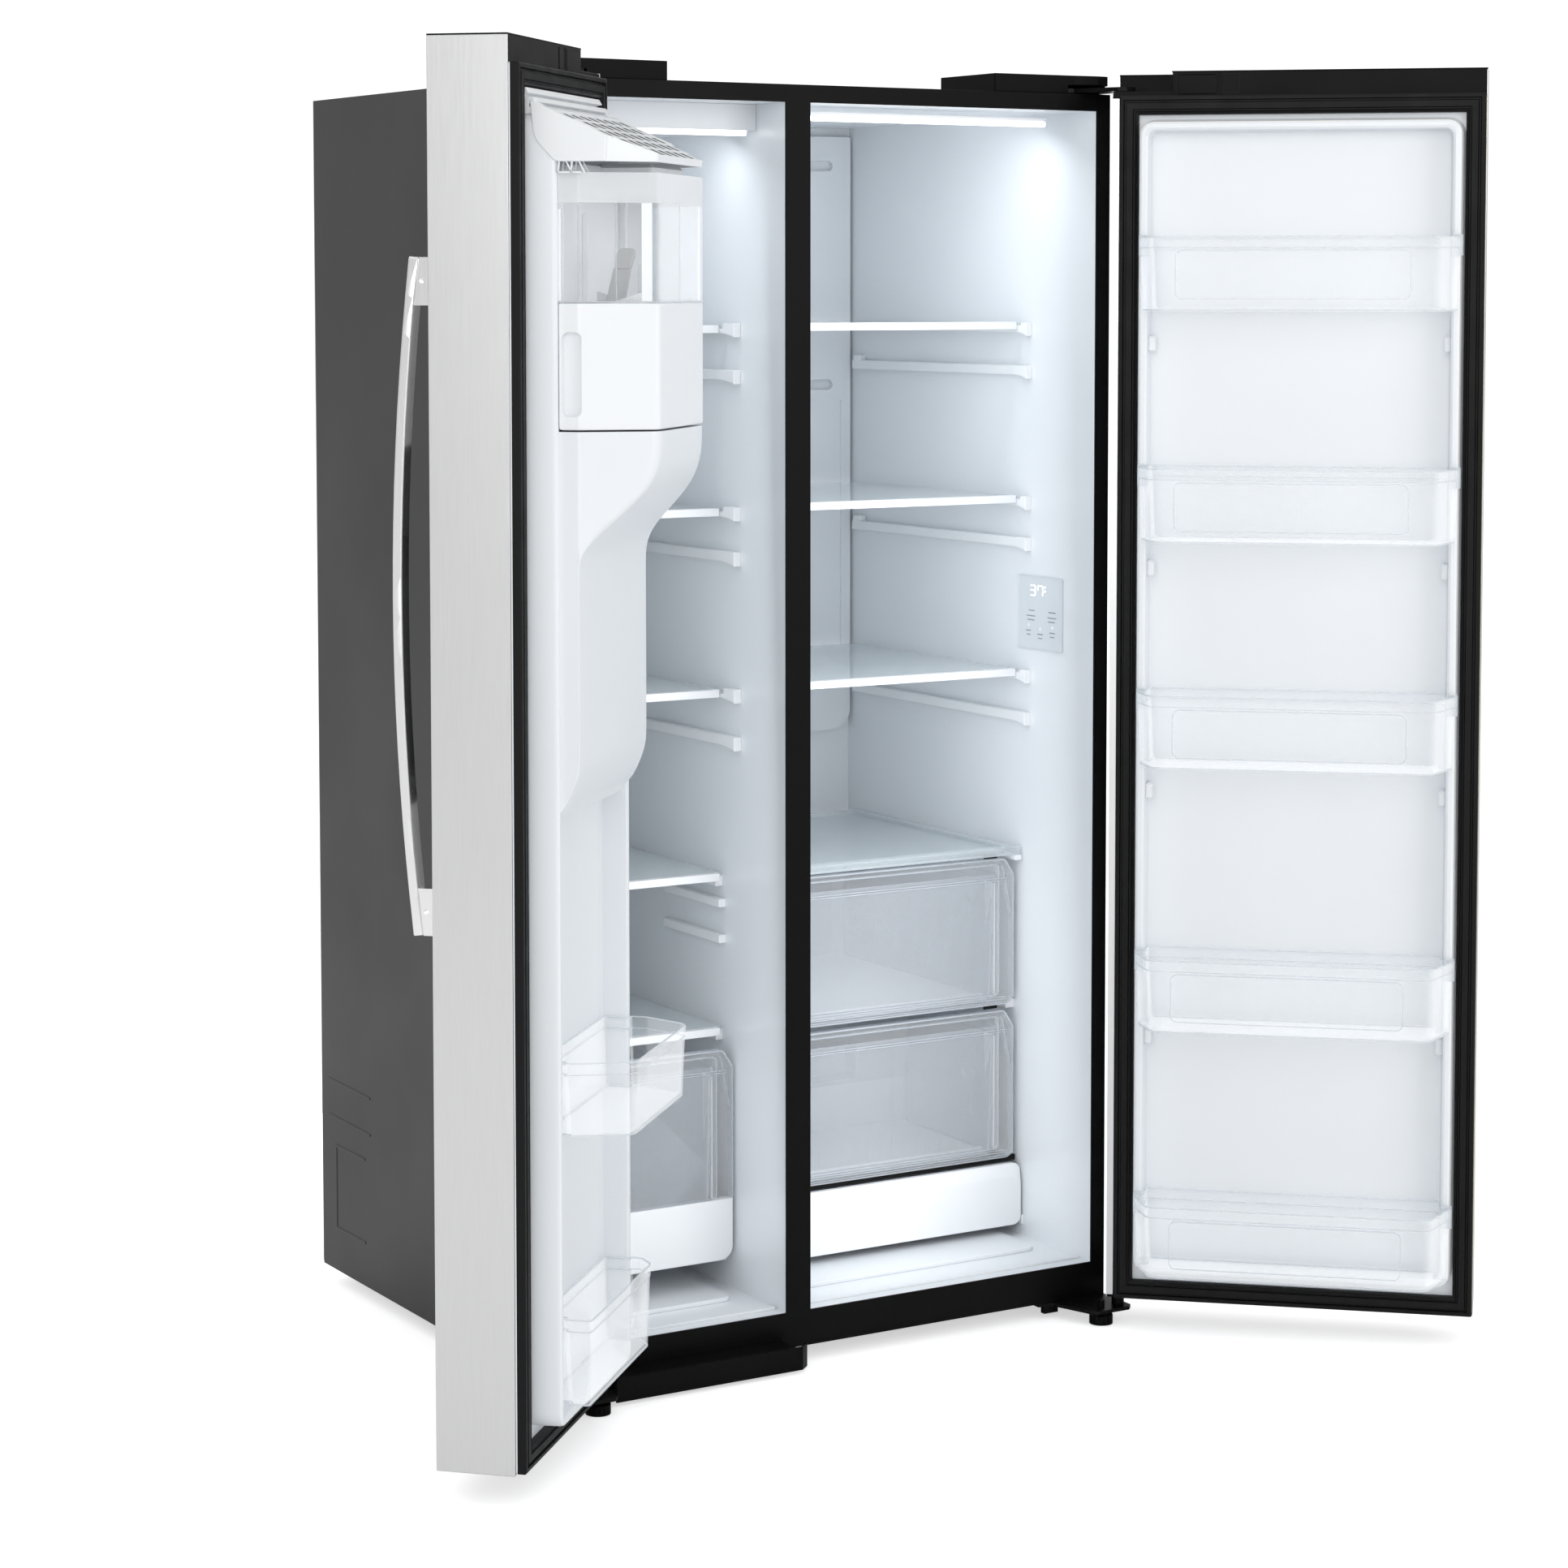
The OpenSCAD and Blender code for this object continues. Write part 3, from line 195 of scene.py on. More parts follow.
# The frame's own materials may have these names, and then Blender adds a number after a point
MATERIALS = {mat.name.split(".")[0]: mat for mat in (
    moulded("charcoal_paint", (0.0195, 0.0195, 0.021), 0.42, 0.06, 4, 1400, 0.00003),
    moulded("foam", (0.78, 0.66, 0.36), 0.9, 0.12, 40, 300, 0.0004),
    moulded("white_liner", WHITE, 0.32, 0.012, 3, 500, 0.00001),
    moulded("black_frame", (0.003, 0.003, 0.003), 0.36, 0.1, 6, 900, 0.00001, Specular_IOR_Level=0.09),
    moulded("galvanised_steel", (0.42, 0.44, 0.45), 0.42, 0.16, 34, 260, 0.00002, Metallic=0.85),
    moulded("black_enamel", BLACK, 0.34, 0.1, 30, 700, 0.00003, Specular_IOR_Level=0.12),
    moulded("black_plastic", BLACK, 0.36, 0.08, 12, 1800, 0.00003, Specular_IOR_Level=0.07),
    moulded("white_plastic", (0.86, 0.88, 0.90), 0.34, 0.012, 5, 900, 0.00001),
    moulded("rubber", BLACK, 0.5, 0.1, 20, 1200, 0.00003, Specular_IOR_Level=0.18),
    moulded("roller_plastic", (0.05, 0.05, 0.055), 0.5, 0.1, 30, 900, 0.00004),
    glowing("light_diffuser", (1.0, 1.0, 1.0), 2.2),
    moulded("panel_glass", (0.70, 0.74, 0.78), 0.16, 0.02, 8, 300, 0.000005),
    moulded("panel_glass_black", (0.005, 0.005, 0.006), 0.1, 0.1, 8, 300, 0.000005),
    see_through("shelf_glass", (0.80, 0.87, 0.90), 0.04, 0.22, 0.75),
    # The clear plastic is given a faint white glow: painted light, standing in for the light that passes through
    # it
    see_through("clear_plastic", (0.93, 0.95, 0.97), 0.08, 0.03, 0.42,
                Emission_Color=(1, 1, 1, 1), Emission_Strength=0.2),
    brushed("stainless_steel", (0.70, 0.70, 0.705), 0.30, 0.03),
    brushed("handle_metal", (0.90, 0.90, 0.90), 0.20, 0.03),
    brushed("auger_metal", (0.62, 0.63, 0.64), 0.3, 0.1),
    moulded("dispenser_plastic", (0.015, 0.015, 0.017), 0.3, 0.08, 12, 1500, 0.00002),
)}
CLEAR_EDGE = see_through("clear_edge", (0.74, 0.79, 0.83), 0.12, 0.34, 0.8)
CLEAR_LINE = see_through("clear_line", (0.66, 0.70, 0.75), 0.12, 0.4, 0.75)
TUB_CLEAR = see_through("tub_clear", (0.62, 0.67, 0.73), 0.1, 0.2, 0.6)
FROSTED = see_through("frosted_plastic", (0.88, 0.90, 0.92), 0.35, 0.5, 0.85)
GREY_LEVER = moulded("grey_lever", (0.50, 0.51, 0.52), 0.45)
DARK_VENT = moulded("dark_vent", (0.16, 0.17, 0.18), 0.6)
# White plastic with a faint glow: painted light, which brightens the inside of the ice bin and the wall behind the
# ice maker
MILKY_PAINTED_GLOW = glowing("milky_plastic", (0.80, 0.82, 0.84), 0.1)
DIGIT_GLOW = glowing("digit_glow", (1.0, 1.0, 1.0), 1.5)
MARK_INK = moulded("mark_ink", (0.30, 0.32, 0.35), 0.5)


# ---- Outlines ----

def fillet(points, radius, steps=6):
    """Outline with each corner rounded; radius is one number, or one for each corner."""
    outline = []
    for i, corner in enumerate(points):
        r = radius[i] if isinstance(radius, (list, tuple)) else radius
        corner = Vector(corner)
        to_last = Vector(points[i - 1]) - corner
        to_next = Vector(points[(i + 1) % len(points)]) - corner
        half = to_last.angle(to_next, math.pi) / 2
        reach = min(r / math.tan(half) if half < 1.55 else 0, 0.49 * to_last.length, 0.49 * to_next.length)
        if reach < 1e-3:
            outline += [tuple(corner)] * (steps + 1)
            continue
        r = reach * math.tan(half)
        a, b = to_last.normalized(), to_next.normalized()
        centre = corner + (a + b).normalized() * (r / math.sin(half))
        start, end = corner + a * reach - centre, corner + b * reach - centre
        sweep = start.angle_signed(end)
        for k in range(steps + 1):
            spoke = start.copy()
            spoke.rotate(Matrix.Rotation(-sweep * k / steps, 2))
            outline.append(tuple(centre + spoke))
    return outline


def inset(points, t):
    """Outline moved inwards by t, with its corners kept sharp."""
    n = len(points)
    area = sum(points[i - 1][0] * points[i][1] - points[i][0] * points[i - 1][1] for i in range(n))
    side = 1 if area > 0 else -1
    lines = []
    for i in range(n):
        p, q = Vector(points[i]), Vector(points[(i + 1) % n])
        direction = (q - p).normalized()
        normal = Vector((-direction.y, direction.x)) * side
        lines.append((p + normal * t, direction))
    moved = []
    for i in range(n):
        (p, d), (q, e) = lines[i - 1], lines[i]
        cross = d.x * e.y - d.y * e.x
        if abs(cross) < 1e-6:
            moved.append(tuple(q))
            continue
        along = ((q.x - p.x) * e.y - (q.y - p.y) * e.x) / cross
        moved.append(tuple(p + d * along))
    return moved


def rectangle(x0, x1, z0, z1):
    return [(x0, z0), (x1, z0), (x1, z1), (x0, z1)]


def round_rectangle(x0, x1, z0, z1, r, steps=6):
    return fillet(rectangle(x0, x1, z0, z1), r, steps)


# ---- Solids ----

AXES = {
    "x": lambda a, b, c: (c, a, b),
    "y": lambda a, b, c: (a, c, b),
    "z": lambda a, b, c: (a, b, c),
}


def ring(outline, axis, level):
    return [AXES[axis](a, b, level) for a, b in outline]


def loft(bm, rings, closed=False):
    """Skin through rings of equally many points, capped at both ends unless it is closed."""
    rows = [[bm.verts.new(p) for p in points] for points in rings]
    pairs = list(zip(rows, rows[1:])) + ([(rows[-1], rows[0])] if closed else [])
    for low, high in pairs:
        for i in range(len(low)):
            j = (i + 1) % len(low)
            bm.faces.new((low[i], low[j], high[j], high[i]))
    if not closed:
        bm.faces.new(rows[0][::-1])
        bm.faces.new(rows[-1])
    return bm


def prism(bm, outline, axis, low, high, edge=0.0):
    """Outline drawn from low to high along an axis, with its two end edges chamfered by edge."""
    if edge:
        small = inset(outline, edge)
        return loft(bm, [ring(small, axis, low), ring(outline, axis, low + edge),
                         ring(outline, axis, high - edge), ring(small, axis, high)])
    return loft(bm, [ring(outline, axis, low), ring(outline, axis, high)])


def block(bm, low, high, r=1.0):
    """Box whose upright edges are rounded and whose other edges are chamfered."""
    edge = min(r, (high[2] - low[2]) / 3) * 0.6
    outline = round_rectangle(low[0], high[0], low[1], high[1], r, 3)
    small = round_rectangle(low[0] + edge, high[0] - edge, low[1] + edge, high[1] - edge,
                            max(r - edge, 0.2), 3)
    return loft(bm, [ring(small, "z", low[2]), ring(outline, "z", low[2] + edge),
                     ring(outline, "z", high[2] - edge), ring(small, "z", high[2])])


def disc(bm, centre, axis, r, low, high, edge=0.5, sides=24):
    """Round part along an axis, chamfered at both ends."""
    def circle(radius):
        return [(centre[0] + radius * math.cos(k * math.tau / sides),
                 centre[1] + radius * math.sin(k * math.tau / sides)) for k in range(sides)]
    return loft(bm, [ring(circle(r - edge), axis, low), ring(circle(r), axis, low + edge),
                     ring(circle(r), axis, high - edge), ring(circle(r - edge), axis, high)])


def hoop(bm, rect, r, axis, profile):
    """Closed frame round a rectangle; profile lists (inset, level) round the frame's own section."""
    rings = []
    for d, level in profile:
        x0, x1, z0, z1 = rect
        rings.append(ring(round_rectangle(x0 + d, x1 - d, z0 + d, z1 - d, max(r - d, 0.4)), axis, level))
    return loft(bm, rings, closed=True)


# ---- Pieces ----

SMOOTH_ANGLE = math.radians(32)


def smooth(obj):
    """Smooth shading that keeps sharp edges sharp."""
    obj.data.polygons.foreach_set("use_smooth", [True] * len(obj.data.polygons))
    obj.data.set_sharp_from_angle(angle=SMOOTH_ANGLE)


def weigh_normals(obj):
    """Keeps flat faces flat between rounded edges."""
    weighted = obj.modifiers.new("weighted_normals", "WEIGHTED_NORMAL")
    weighted.keep_sharp = True


def round_edges(obj, width, angle_limit):
    """Rounds edges sharper than the limit, by a width in millimetres."""
    soften = obj.modifiers.new("soft_edges", "BEVEL")
    soften.width = width * MM
    soften.segments = 2
    soften.limit_method = "ANGLE"
    soften.angle_limit = angle_limit


def piece(name, bm, body, slot, look=None, bevel=0.0):
    """Puts a mesh drawn in millimetres into the scene and lets it ride on a CAD body.

    Its material is that of its slot, unless a look of its own is given.
    """
    bmesh.ops.remove_doubles(bm, verts=bm.verts, dist=0.002)
    bmesh.ops.dissolve_degenerate(bm, edges=bm.edges, dist=0.002)
    bmesh.ops.recalc_face_normals(bm, faces=bm.faces)
    bmesh.ops.scale(bm, vec=(MM, MM, MM), verts=bm.verts)
    mesh = bpy.data.meshes.new(name)
    bm.to_mesh(mesh)
    bm.free()
    mesh.materials.append(look or MATERIALS[slot])
    obj = bpy.data.objects.new(name, mesh)
    bpy.context.scene.collection.objects.link(obj)
    if bevel:
        round_edges(obj, bevel, math.radians(40))
    smooth(obj)
    weigh_normals(obj)
    obj.matrix_world = PLACES.get(body, STILL)
    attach(obj, body)
    return obj


def carve(obj, *cutters):
    """Cuts the cutters out of a piece, once and for all."""
    for i, bm in enumerate(cutters):
        bmesh.ops.recalc_face_normals(bm, faces=bm.faces)
        bmesh.ops.scale(bm, vec=(MM, MM, MM), verts=bm.verts)
        mesh = bpy.data.meshes.new("cutter")
        bm.to_mesh(mesh)
        bm.free()
        cutter = bpy.data.objects.new("cutter", mesh)
        bpy.context.scene.collection.objects.link(cutter)
        cutter.matrix_world = obj.matrix_world
        cut = obj.modifiers.new(f"cut_{i}", "BOOLEAN")
        cut.operation = "DIFFERENCE"
        cut.solver = "EXACT"
        cut.object = cutter
        obj.modifiers.move(len(obj.modifiers) - 1, 0)
        bpy.context.view_layer.update()
        for other in obj.modifiers:
            other.show_viewport = other == cut
        bpy.context.view_layer.update()
        evaluated = obj.evaluated_get(bpy.context.evaluated_depsgraph_get())
        carved = bpy.data.meshes.new_from_object(evaluated)
        obj.modifiers.remove(cut)
        obj.data = carved
        for other in obj.modifiers:
            other.show_viewport = True
        bpy.data.objects.remove(cutter)
    smooth(obj)


# ---- Camera, light and floor ----

def make_camera():
    data = bpy.data.cameras.new("camera")
    data.lens = 83.393
    data.sensor_width = 36
    data.shift_x = -0.0169
    data.shift_y = -0.16
    data.clip_end = 60
    camera = bpy.data.objects.new("camera", data)
    camera.location = (-2.6089, -4.2494, 1.4903)
    camera.rotation_euler = (math.radians(90 - 3.8789), 0, -math.radians(31.0916))
    bpy.context.scene.collection.objects.link(camera)
    bpy.context.scene.camera = camera


def area_light(name, place, aim, size, power, size_y=None, colour=(1, 1, 1)):
    data = bpy.data.lights.new(name, "AREA")
    data.energy = power
    data.size = size
    data.color = colour
    if size_y:
        data.shape = "RECTANGLE"
        data.size_y = size_y
    lamp = bpy.data.objects.new(name, data)
    lamp.location = place
    lamp.visible_camera = False
    lamp.visible_diffuse = name != "steel_card"
    lamp.visible_glossy = not name.endswith("glow")
    lamp.rotation_euler = (Vector(aim) - Vector(place)).to_track_quat("-Z", "Y").to_euler()
    bpy.context.scene.collection.objects.link(lamp)


def make_world():
    """White air behind the object; as a light it is softer, and darker near the ground."""
    world = bpy.data.worlds.new("studio")
    bpy.context.scene.world = world
    world.use_nodes = True
    background = world.node_tree.nodes["Background"]
    background.inputs["Color"].default_value = (1, 1, 1, 1)
    seen = add_node(world, "ShaderNodeLightPath")
    coords = add_node(world, "ShaderNodeTexCoord")
    split = add_node(world, "ShaderNodeSeparateXYZ")
    choose = add_node(world, "ShaderNodeMix", B=1.0)
    link(world, coords.outputs["Generated"], split.inputs["Vector"])
    link(world, seen.outputs["Is Camera Ray"], choose.inputs["Factor"])
    link(world, ranged(world, split.outputs["Z"], 0.34, 0.78, -0.35, 0.75), choose.inputs["A"])
    link(world, choose.outputs["Result"], background.inputs["Strength"])


def make_lights():
    cool, led = (0.94, 0.97, 1.0), (0.93, 0.96, 1.0)
    area_light("key", (-3.6, -4.2, 3.1), (0, -0.2, 1.0), 3.0, 42)
    area_light("front_fill", (1.6, -4.6, 2.0), (0.2, 0, 0.9), 2.4, 40)
    area_light("rear_fill", (0.8, 4.4, 3.0), (0, 0.4, 0.9), 3.0, 40)
    # Adds only reflections, for the steel
    area_light("steel_card", (-3.9, -4.3, 2.3), (-0.48, -0.38, 1.3), 3.0, 46)
    # Light that the white walls of both compartments pass on to each other
    area_light("freezer_glow", (-0.258, 0.02, 0.88), (-0.258, 0.6, 0.86), 0.28, 0.75, 1.45, cool)
    area_light("fridge_glow", (0.15, 0.02, 0.88), (0.12, 0.6, 0.86), 0.34, 1.7, 1.45, cool)
    # Under the light strips
    area_light("freezer_light", (-0.255, 0.13, 1.69), (-0.255, 0.33, 1.1), 0.26, 0.25, 0.05, led)
    area_light("fridge_light", (0.19, 0.11, 1.715), (0.19, 0.36, 1.1), 0.38, 0.45, 0.05, led)


def make_floor():
    """Plain pale floor, a little brighter to the camera, so that it meets the air without a line."""
    floor = bpy.data.meshes.new("floor")
    bm = bmesh.new()
    bmesh.ops.create_grid(bm, x_segments=1, y_segments=1, size=40)
    bm.to_mesh(floor)
    bm.free()
    paint = moulded("floor_paint", (0.93, 0.93, 0.93), 0.8, 0.01, 1, 40, 0.0001)
    shader_of(paint).inputs["Emission Color"].default_value = (1, 1, 1, 1)
    seen = add_node(paint, "ShaderNodeLightPath")
    glow = add_node(paint, "ShaderNodeMath", operation="MULTIPLY")
    glow.inputs[1].default_value = 0.5
    link(paint, seen.outputs["Is Camera Ray"], glow.inputs[0])
    link(paint, glow.outputs["Value"], shader_of(paint).inputs["Emission Strength"])
    floor.materials.append(paint)
    ground = bpy.data.objects.new("floor", floor)
    ground.location.z = -0.5 * MM
    bpy.context.scene.collection.objects.link(ground)


make_camera()
make_world()
bpy.context.scene.view_settings.view_transform = "Standard"
bpy.context.scene.view_settings.exposure = 0.16
bpy.context.scene.cycles.transparent_max_bounces = 40
make_lights()
make_floor()


# ---- CAD nodes that stay: finish and softened edges ----

def finish_nodes():
    slots = {row["node"]: row["material_slot"] for row in frame["record"]["subparts"]}
    for name, obj in NODES.items():
        obj.data.materials.clear()
        obj.data.materials.append(MATERIALS[slots[name]])


def soften_node(name, width):
    """Rounds a node's edges a little with modifiers; its mesh stays as it is."""
    obj = NODES[name]
    weld = obj.modifiers.new("weld", "WELD")
    weld.merge_threshold = 0.00001
    round_edges(obj, width, math.radians(50))
    weigh_normals(obj)


finish_nodes()
for node_name, edge_width in {
    "freezer_door_skin": 1.2, "fridge_door_skin": 1.2,
    "freezer_handle_bar": 2.0, "fridge_handle_bar": 2.0, "freezer_handle_mounts": 1.5,
    "fridge_handle_mounts": 1.5, "hinge_covers": 1.5, "kick_plate": 1.2, "shelf_rails": 1.5,
    "shelf_trims": 1.2, "filter_cover": 1.5, "freezer_drawer_front": 2.0, "ice_maker": 2.0,
    "front_feet": 0.6, "top_hinges": 0.6, "lower_hinges": 0.6, "dispenser_panel": 0.8, "ice_hood": 0.8,
    "outer_case": 0.4, "front_frame": 0.4, "air_duct": 1.0, "light_strips": 0.8,
}.items():
    soften_node(node_name, edge_width)


# ---- Door gaskets ----

FLANGE_Y = -12.0

def gasket(body, place):
    """Black seal: a magnet strip with bellows grooves on both sides of it."""
    low, high = node_box(body + "_gasket", place)
    base, face = FLANGE_Y, -0.5
    section = [(0, base), (0, face - 2), (1.5, face - 0.3), (6, face), (7, face - 4), (9.5, face - 4),
               (10.5, face), (19, face), (20, face - 2.5), (22, face - 2.5), (23, face - 0.4),
               (26, face - 2), (27, face - 6), (27, base)]
    bm = hoop(bmesh.new(), (low.x, high.x, low.z, high.z), 1.5, "y", section)
    seal = piece(body + "_seal", bm, body, "rubber")
    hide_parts(body + "_gasket")


gasket("freezer_door", FREEZER_DOOR)
gasket("fridge_door", FRIDGE_DOOR)


# ---- Door caps ----

def door_cap(body, place, hinge):
    """Black caps at both ends of a door: plate, stepped rear face and a small insert."""
    low, high = node_box(body + "_caps", place)
    x0, x1, z_top = low.x, high.x, high.z
    under = z_top - 34
    end_x = x0 if hinge < 0 else x1
    def at(along):
        """x at a distance from the hinge end of the door."""
        return end_x - hinge * along
    def bar(bm, near, far, y0, y1, z0, z1, r=1.5):
        a, b = sorted((at(near), at(far)))
        block(bm, (a, y0, z0), (b, y1, z1), r)
    bm = bmesh.new()
    # Plate over the steel, then the body behind it, stepped down towards the hinge
    bar(bm, 83, abs(x1 - x0), low.y, high.y, z_top - 2, z_top, 0.8)
    bar(bm, 0, 84, low.y, low.y + 17, z_top - 2, z_top, 0.8)
    bar(bm, 84, abs(x1 - x0) - 1.2, low.y + 1.2, high.y - 0.2, under - 6, z_top - 1.6, 1)
    bar(bm, 1.2, 85, low.y + 1.2, low.y + 17, under - 6, z_top - 1.6, 1)
    bar(bm, 1.2, 85, low.y + 10, high.y - 0.4, under - 6, 1764, 1)
    bar(bm, 148, 153, high.y - 1, high.y + 0.5, under + 1, z_top - 3, 0.5)
    bar(bm, 92, 146, high.y - 1, high.y + 0.4, under + 1, z_top - 5, 2)
    block(bm, (x0 + 1.2, low.y + 1.2, low.z), (x1 - 1.2, high.y - 1.2, low.z + 6), 1)
    disc(bm, (hinge * HINGE_X, HINGE_Y), "z", 11, low.z, low.z + 24)
    disc(bm, (hinge * HINGE_X, HINGE_Y), "z", 11, under - 30, under)
    cap = piece(body + "_end_caps", bm, body, "black_plastic")
    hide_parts(body + "_caps")
    bm = bmesh.new()
    a, b = sorted((at(150), at(178)))
    hoop(bm, (a, b, under + 3, z_top - 4), 1, "y",
         [(0, high.y - 0.6), (0, high.y + 0.5), (1, high.y + 0.5), (1, high.y - 0.6)])
    piece(body + "_cap_insert", bm, body, "rubber")


door_cap("freezer_door", FREEZER_DOOR, -1)
door_cap("fridge_door", FRIDGE_DOOR, 1)


# ---- Door liners ----

RIM_Z0, RIM_Z1, RIM_Y = 92, 1721, 35
FRIDGE_RIM_X0, FRIDGE_RIM_X1 = -33, 412
FREEZER_RIM_X0, FREEZER_RIM_X1 = -412, -100
HOUSING_Z0, HOUSING_TOP = 842, 1316


def liner_rings(flange, rim, rim_face, inside_r=10):
    """Rings of a door liner from its back: flat flange, raised rim with soft shoulders, sunk field."""
    back, flange_face, field = -13.9, FLANGE_Y, -2.0
    levels = [(flange, 3, 0, back), (flange, 3, 0, flange_face)]
    for r, d, y in ((23, -3, flange_face), (20, 0, flange_face + 3), (19, 1, rim_face - 6),
                    (18, 2.2, rim_face - 2), (16, 5, rim_face), (13, 10, rim_face),
                    (inside_r + 1, 13, rim_face - 2), (inside_r, 14, rim_face - 7), (inside_r, 14.5, 3),
                    (inside_r - 2, 17, -1), (inside_r - 4, 22, field)):
        levels.append((rim, r, d, y))
    rings = []
    for (a, b, c, e), r, d, y in levels:
        rings.append(ring(round_rectangle(a + d, b - d, c + d, e - d, max(r, 1), 8), "y", y))
    return rings


def fridge_liner():
    low, high = node_box("fridge_door_liner", FRIDGE_DOOR)
    flange = (low.x, high.x, low.z, high.z)
    rim = (FRIDGE_RIM_X0, FRIDGE_RIM_X1, RIM_Z0, RIM_Z1)
    bm = loft(bmesh.new(), liner_rings(flange, rim, RIM_Y))
    # Lugs that hold the bins, on both inner sides
    for z in (1400, 1085, 770, 420):
        for x in (rim[0] + 13, rim[1] - 24):
            block(bm, (x, -3, z), (x + 11, 24, z + 22), 4)
    liner = piece("fridge_door_panel", bm, "fridge_door", "white_liner")
    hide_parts("fridge_door_liner")


fridge_liner()


def housing_front(z):
    """How far the ice housing stands out at height z: low bulge, then out in a curve to the ice bin."""
    profile = [(HOUSING_Z0, 22), (850, 34), (872, 48), (905, 60), (1160, 60), (1176, 66), (1206, 96),
               (1236, 127), (1262, 144), (1290, 150), (HOUSING_TOP, 150)]
    for (z_a, y_a), (z_b, y_b) in zip(profile, profile[1:]):
        if z <= z_b:
            t = (z - z_a) / (z_b - z_a)
            return y_a + (y_b - y_a) * t
    return profile[-1][1]


def smooth_front(z):
    """The front profile averaged over a short height, so that its bends are round."""
    samples = [housing_front(min(max(z + 3.5 * k, HOUSING_Z0), HOUSING_TOP)) for k in range(-4, 5)]
    return sum(samples) / len(samples)


def housing_outline(reach):
    """Plan of the housing where it stands out by reach: sides, slanted shoulders and a front."""
    shoulder, front = 62, 150
    share = max(0.0, (reach - shoulder) / (front - shoulder))
    x_free, x_far = -107 - 43 * share, -403 + 48 * share
    low = min(reach, shoulder)
    return [(-403, -6), (-107, -6), (-107, low - 0.5), (x_free - 0.5, reach), (x_far + 0.5, reach),
            (-403, low - 0.5)]


def freezer_liner():
    low, high = node_box("freezer_door_liner", FREEZER_DOOR)
    flange = (low.x, high.x, low.z, high.z)
    rim = (FREEZER_RIM_X0, FREEZER_RIM_X1, RIM_Z0, 1704)
    bm = loft(bmesh.new(), liner_rings(flange, rim, RIM_Y))
    heights = [HOUSING_Z0 + 3 * k for k in range(24)] + [930, 1000, 1080, 1140]
    heights += [1150 + 5 * k for k in range(32)] + [HOUSING_TOP - 4, HOUSING_TOP]
    rings = []
    for z in heights:
        rings.append(ring(fillet(housing_outline(smooth_front(z)), [0, 0, 16, 20, 20, 16], 5), "z", z))
    loft(bm, rings)
    # Plug in the field under the bulge
    block(bm, (-222, -3, 618), (-196, 0, 646), 1.5)
    liner = piece("freezer_door_panel", bm, "freezer_door", "white_liner")
    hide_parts("freezer_door_liner", "freezer_door_foam")


freezer_liner()


# ---- Clear bins ----

BIN_RADII = [4, 4, 0.5, 3, 14, 18, 18, 14, 3, 0.5]


def bin_outline(back, wide, front, shoulder, front_y):
    """Plan of a bin: between the rims at its back, then wider, then in to its front."""
    return [(back[0], 3), (back[1], 3), (back[1], 37), (wide[1], 37), (wide[1], shoulder[1]),
            (front[1], front_y), (front[0], front_y), (wide[0], shoulder[0]), (wide[0], 37), (back[0], 37)]


def bin_ring(outline, d, z):
    return ring(fillet(inset(outline, d), BIN_RADII, 5), "z", z)


def clear_bin(outline, z0, z1, draft=5):
    """Thin clear tub with a thicker band round its rim, and its sides drawn in towards the floor."""
    def at(d, z):
        return bin_ring(outline, d, z)
    wall = 2.2
    rings = [at(draft + 2.5, z0), at(draft + 0.6, z0 + 1), at(draft, z0 + 3), at(1.0, z1 - 15),
             at(0.1, z1 - 13.5), at(0.0, z1 - 1), at(0.7, z1), at(wall, z1), at(wall + 0.6, z1 - 1),
             at(wall + 0.8, z1 - 14), at(draft + wall, z0 + 6), at(draft + wall + 3, z0 + wall)]
    return loft(bmesh.new(), rings)


def bin_edges(outline, z0, z1, draft=5):
    """The denser looking edges of a bin: its rim, its floor's edge and its upright corners."""
    bm = bmesh.new()
    def at(d, z):
        return bin_ring(outline, d, z)
    for z, d, h in ((z1 - 1.2, -0.15, 1.6), (z0 + 0.6, draft - 0.3, 1.8), (z1 - 15.4, 0.7, 0.9)):
        loft(bm, [at(d, z), at(d, z + h), at(d + 2.2, z + h), at(d + 2.2, z)], closed=True)
    return bm


def door_bins():
    fridge_bins = [1457, 1138, 824, 455, 107]
    height = 102
    outline = bin_outline((-17, 396), (-33, 407), (-6, 384), (45, 60), 118)
    pieces = []
    for i, z in enumerate(fridge_bins):
        tub = piece(f"fridge_door_bin_{i + 1}", clear_bin(outline, z, z + height),
                    "fridge_door", "clear_plastic")
        edge = piece(f"fridge_door_bin_{i + 1}_edges", bin_edges(outline, z, z + height),
                     "fridge_door", "clear_plastic", CLEAR_EDGE)
        bm = hoop(bmesh.new(), (32, 352, z + 16, z + height - 18), 10, "y",
                  [(0, 115.2), (0, 118.4), (1.2, 118.4), (1.2, 115.2)])
        for x0, x1 in ((-35, -20), (395, 409)):
            prism(bm, rectangle(37, 52, z + height - 26, z + height + 3), "x", x0, x1, 0.8)
        trim = piece(f"fridge_door_bin_{i + 1}_ears", bm, "fridge_door", "clear_plastic", CLEAR_EDGE)
        pieces += [tub, edge, trim]
    for tub in pieces:
        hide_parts("fridge_door_bins")
    pieces = []
    upper = bin_outline((-396, -116), (-405, -105), (-372, -135), (60, 42), 122)
    lower = bin_outline((-396, -116), (-402, -106), (-376, -110), (52, 66), 72)
    for label, outline, z0, z1 in (("upper", upper, 455, 547), ("lower", lower, 122, 230)):
        pieces.append(piece(f"freezer_door_bin_{label}", clear_bin(outline, z0, z1, 4),
                            "freezer_door", "clear_plastic"))
        pieces.append(piece(f"freezer_door_bin_{label}_edges", bin_edges(outline, z0, z1, 4),
                            "freezer_door", "clear_plastic", CLEAR_EDGE))
    for tub in pieces:
        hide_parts("freezer_door_bins")


door_bins()


# ---- Ice bin, its base and the hood over it ----

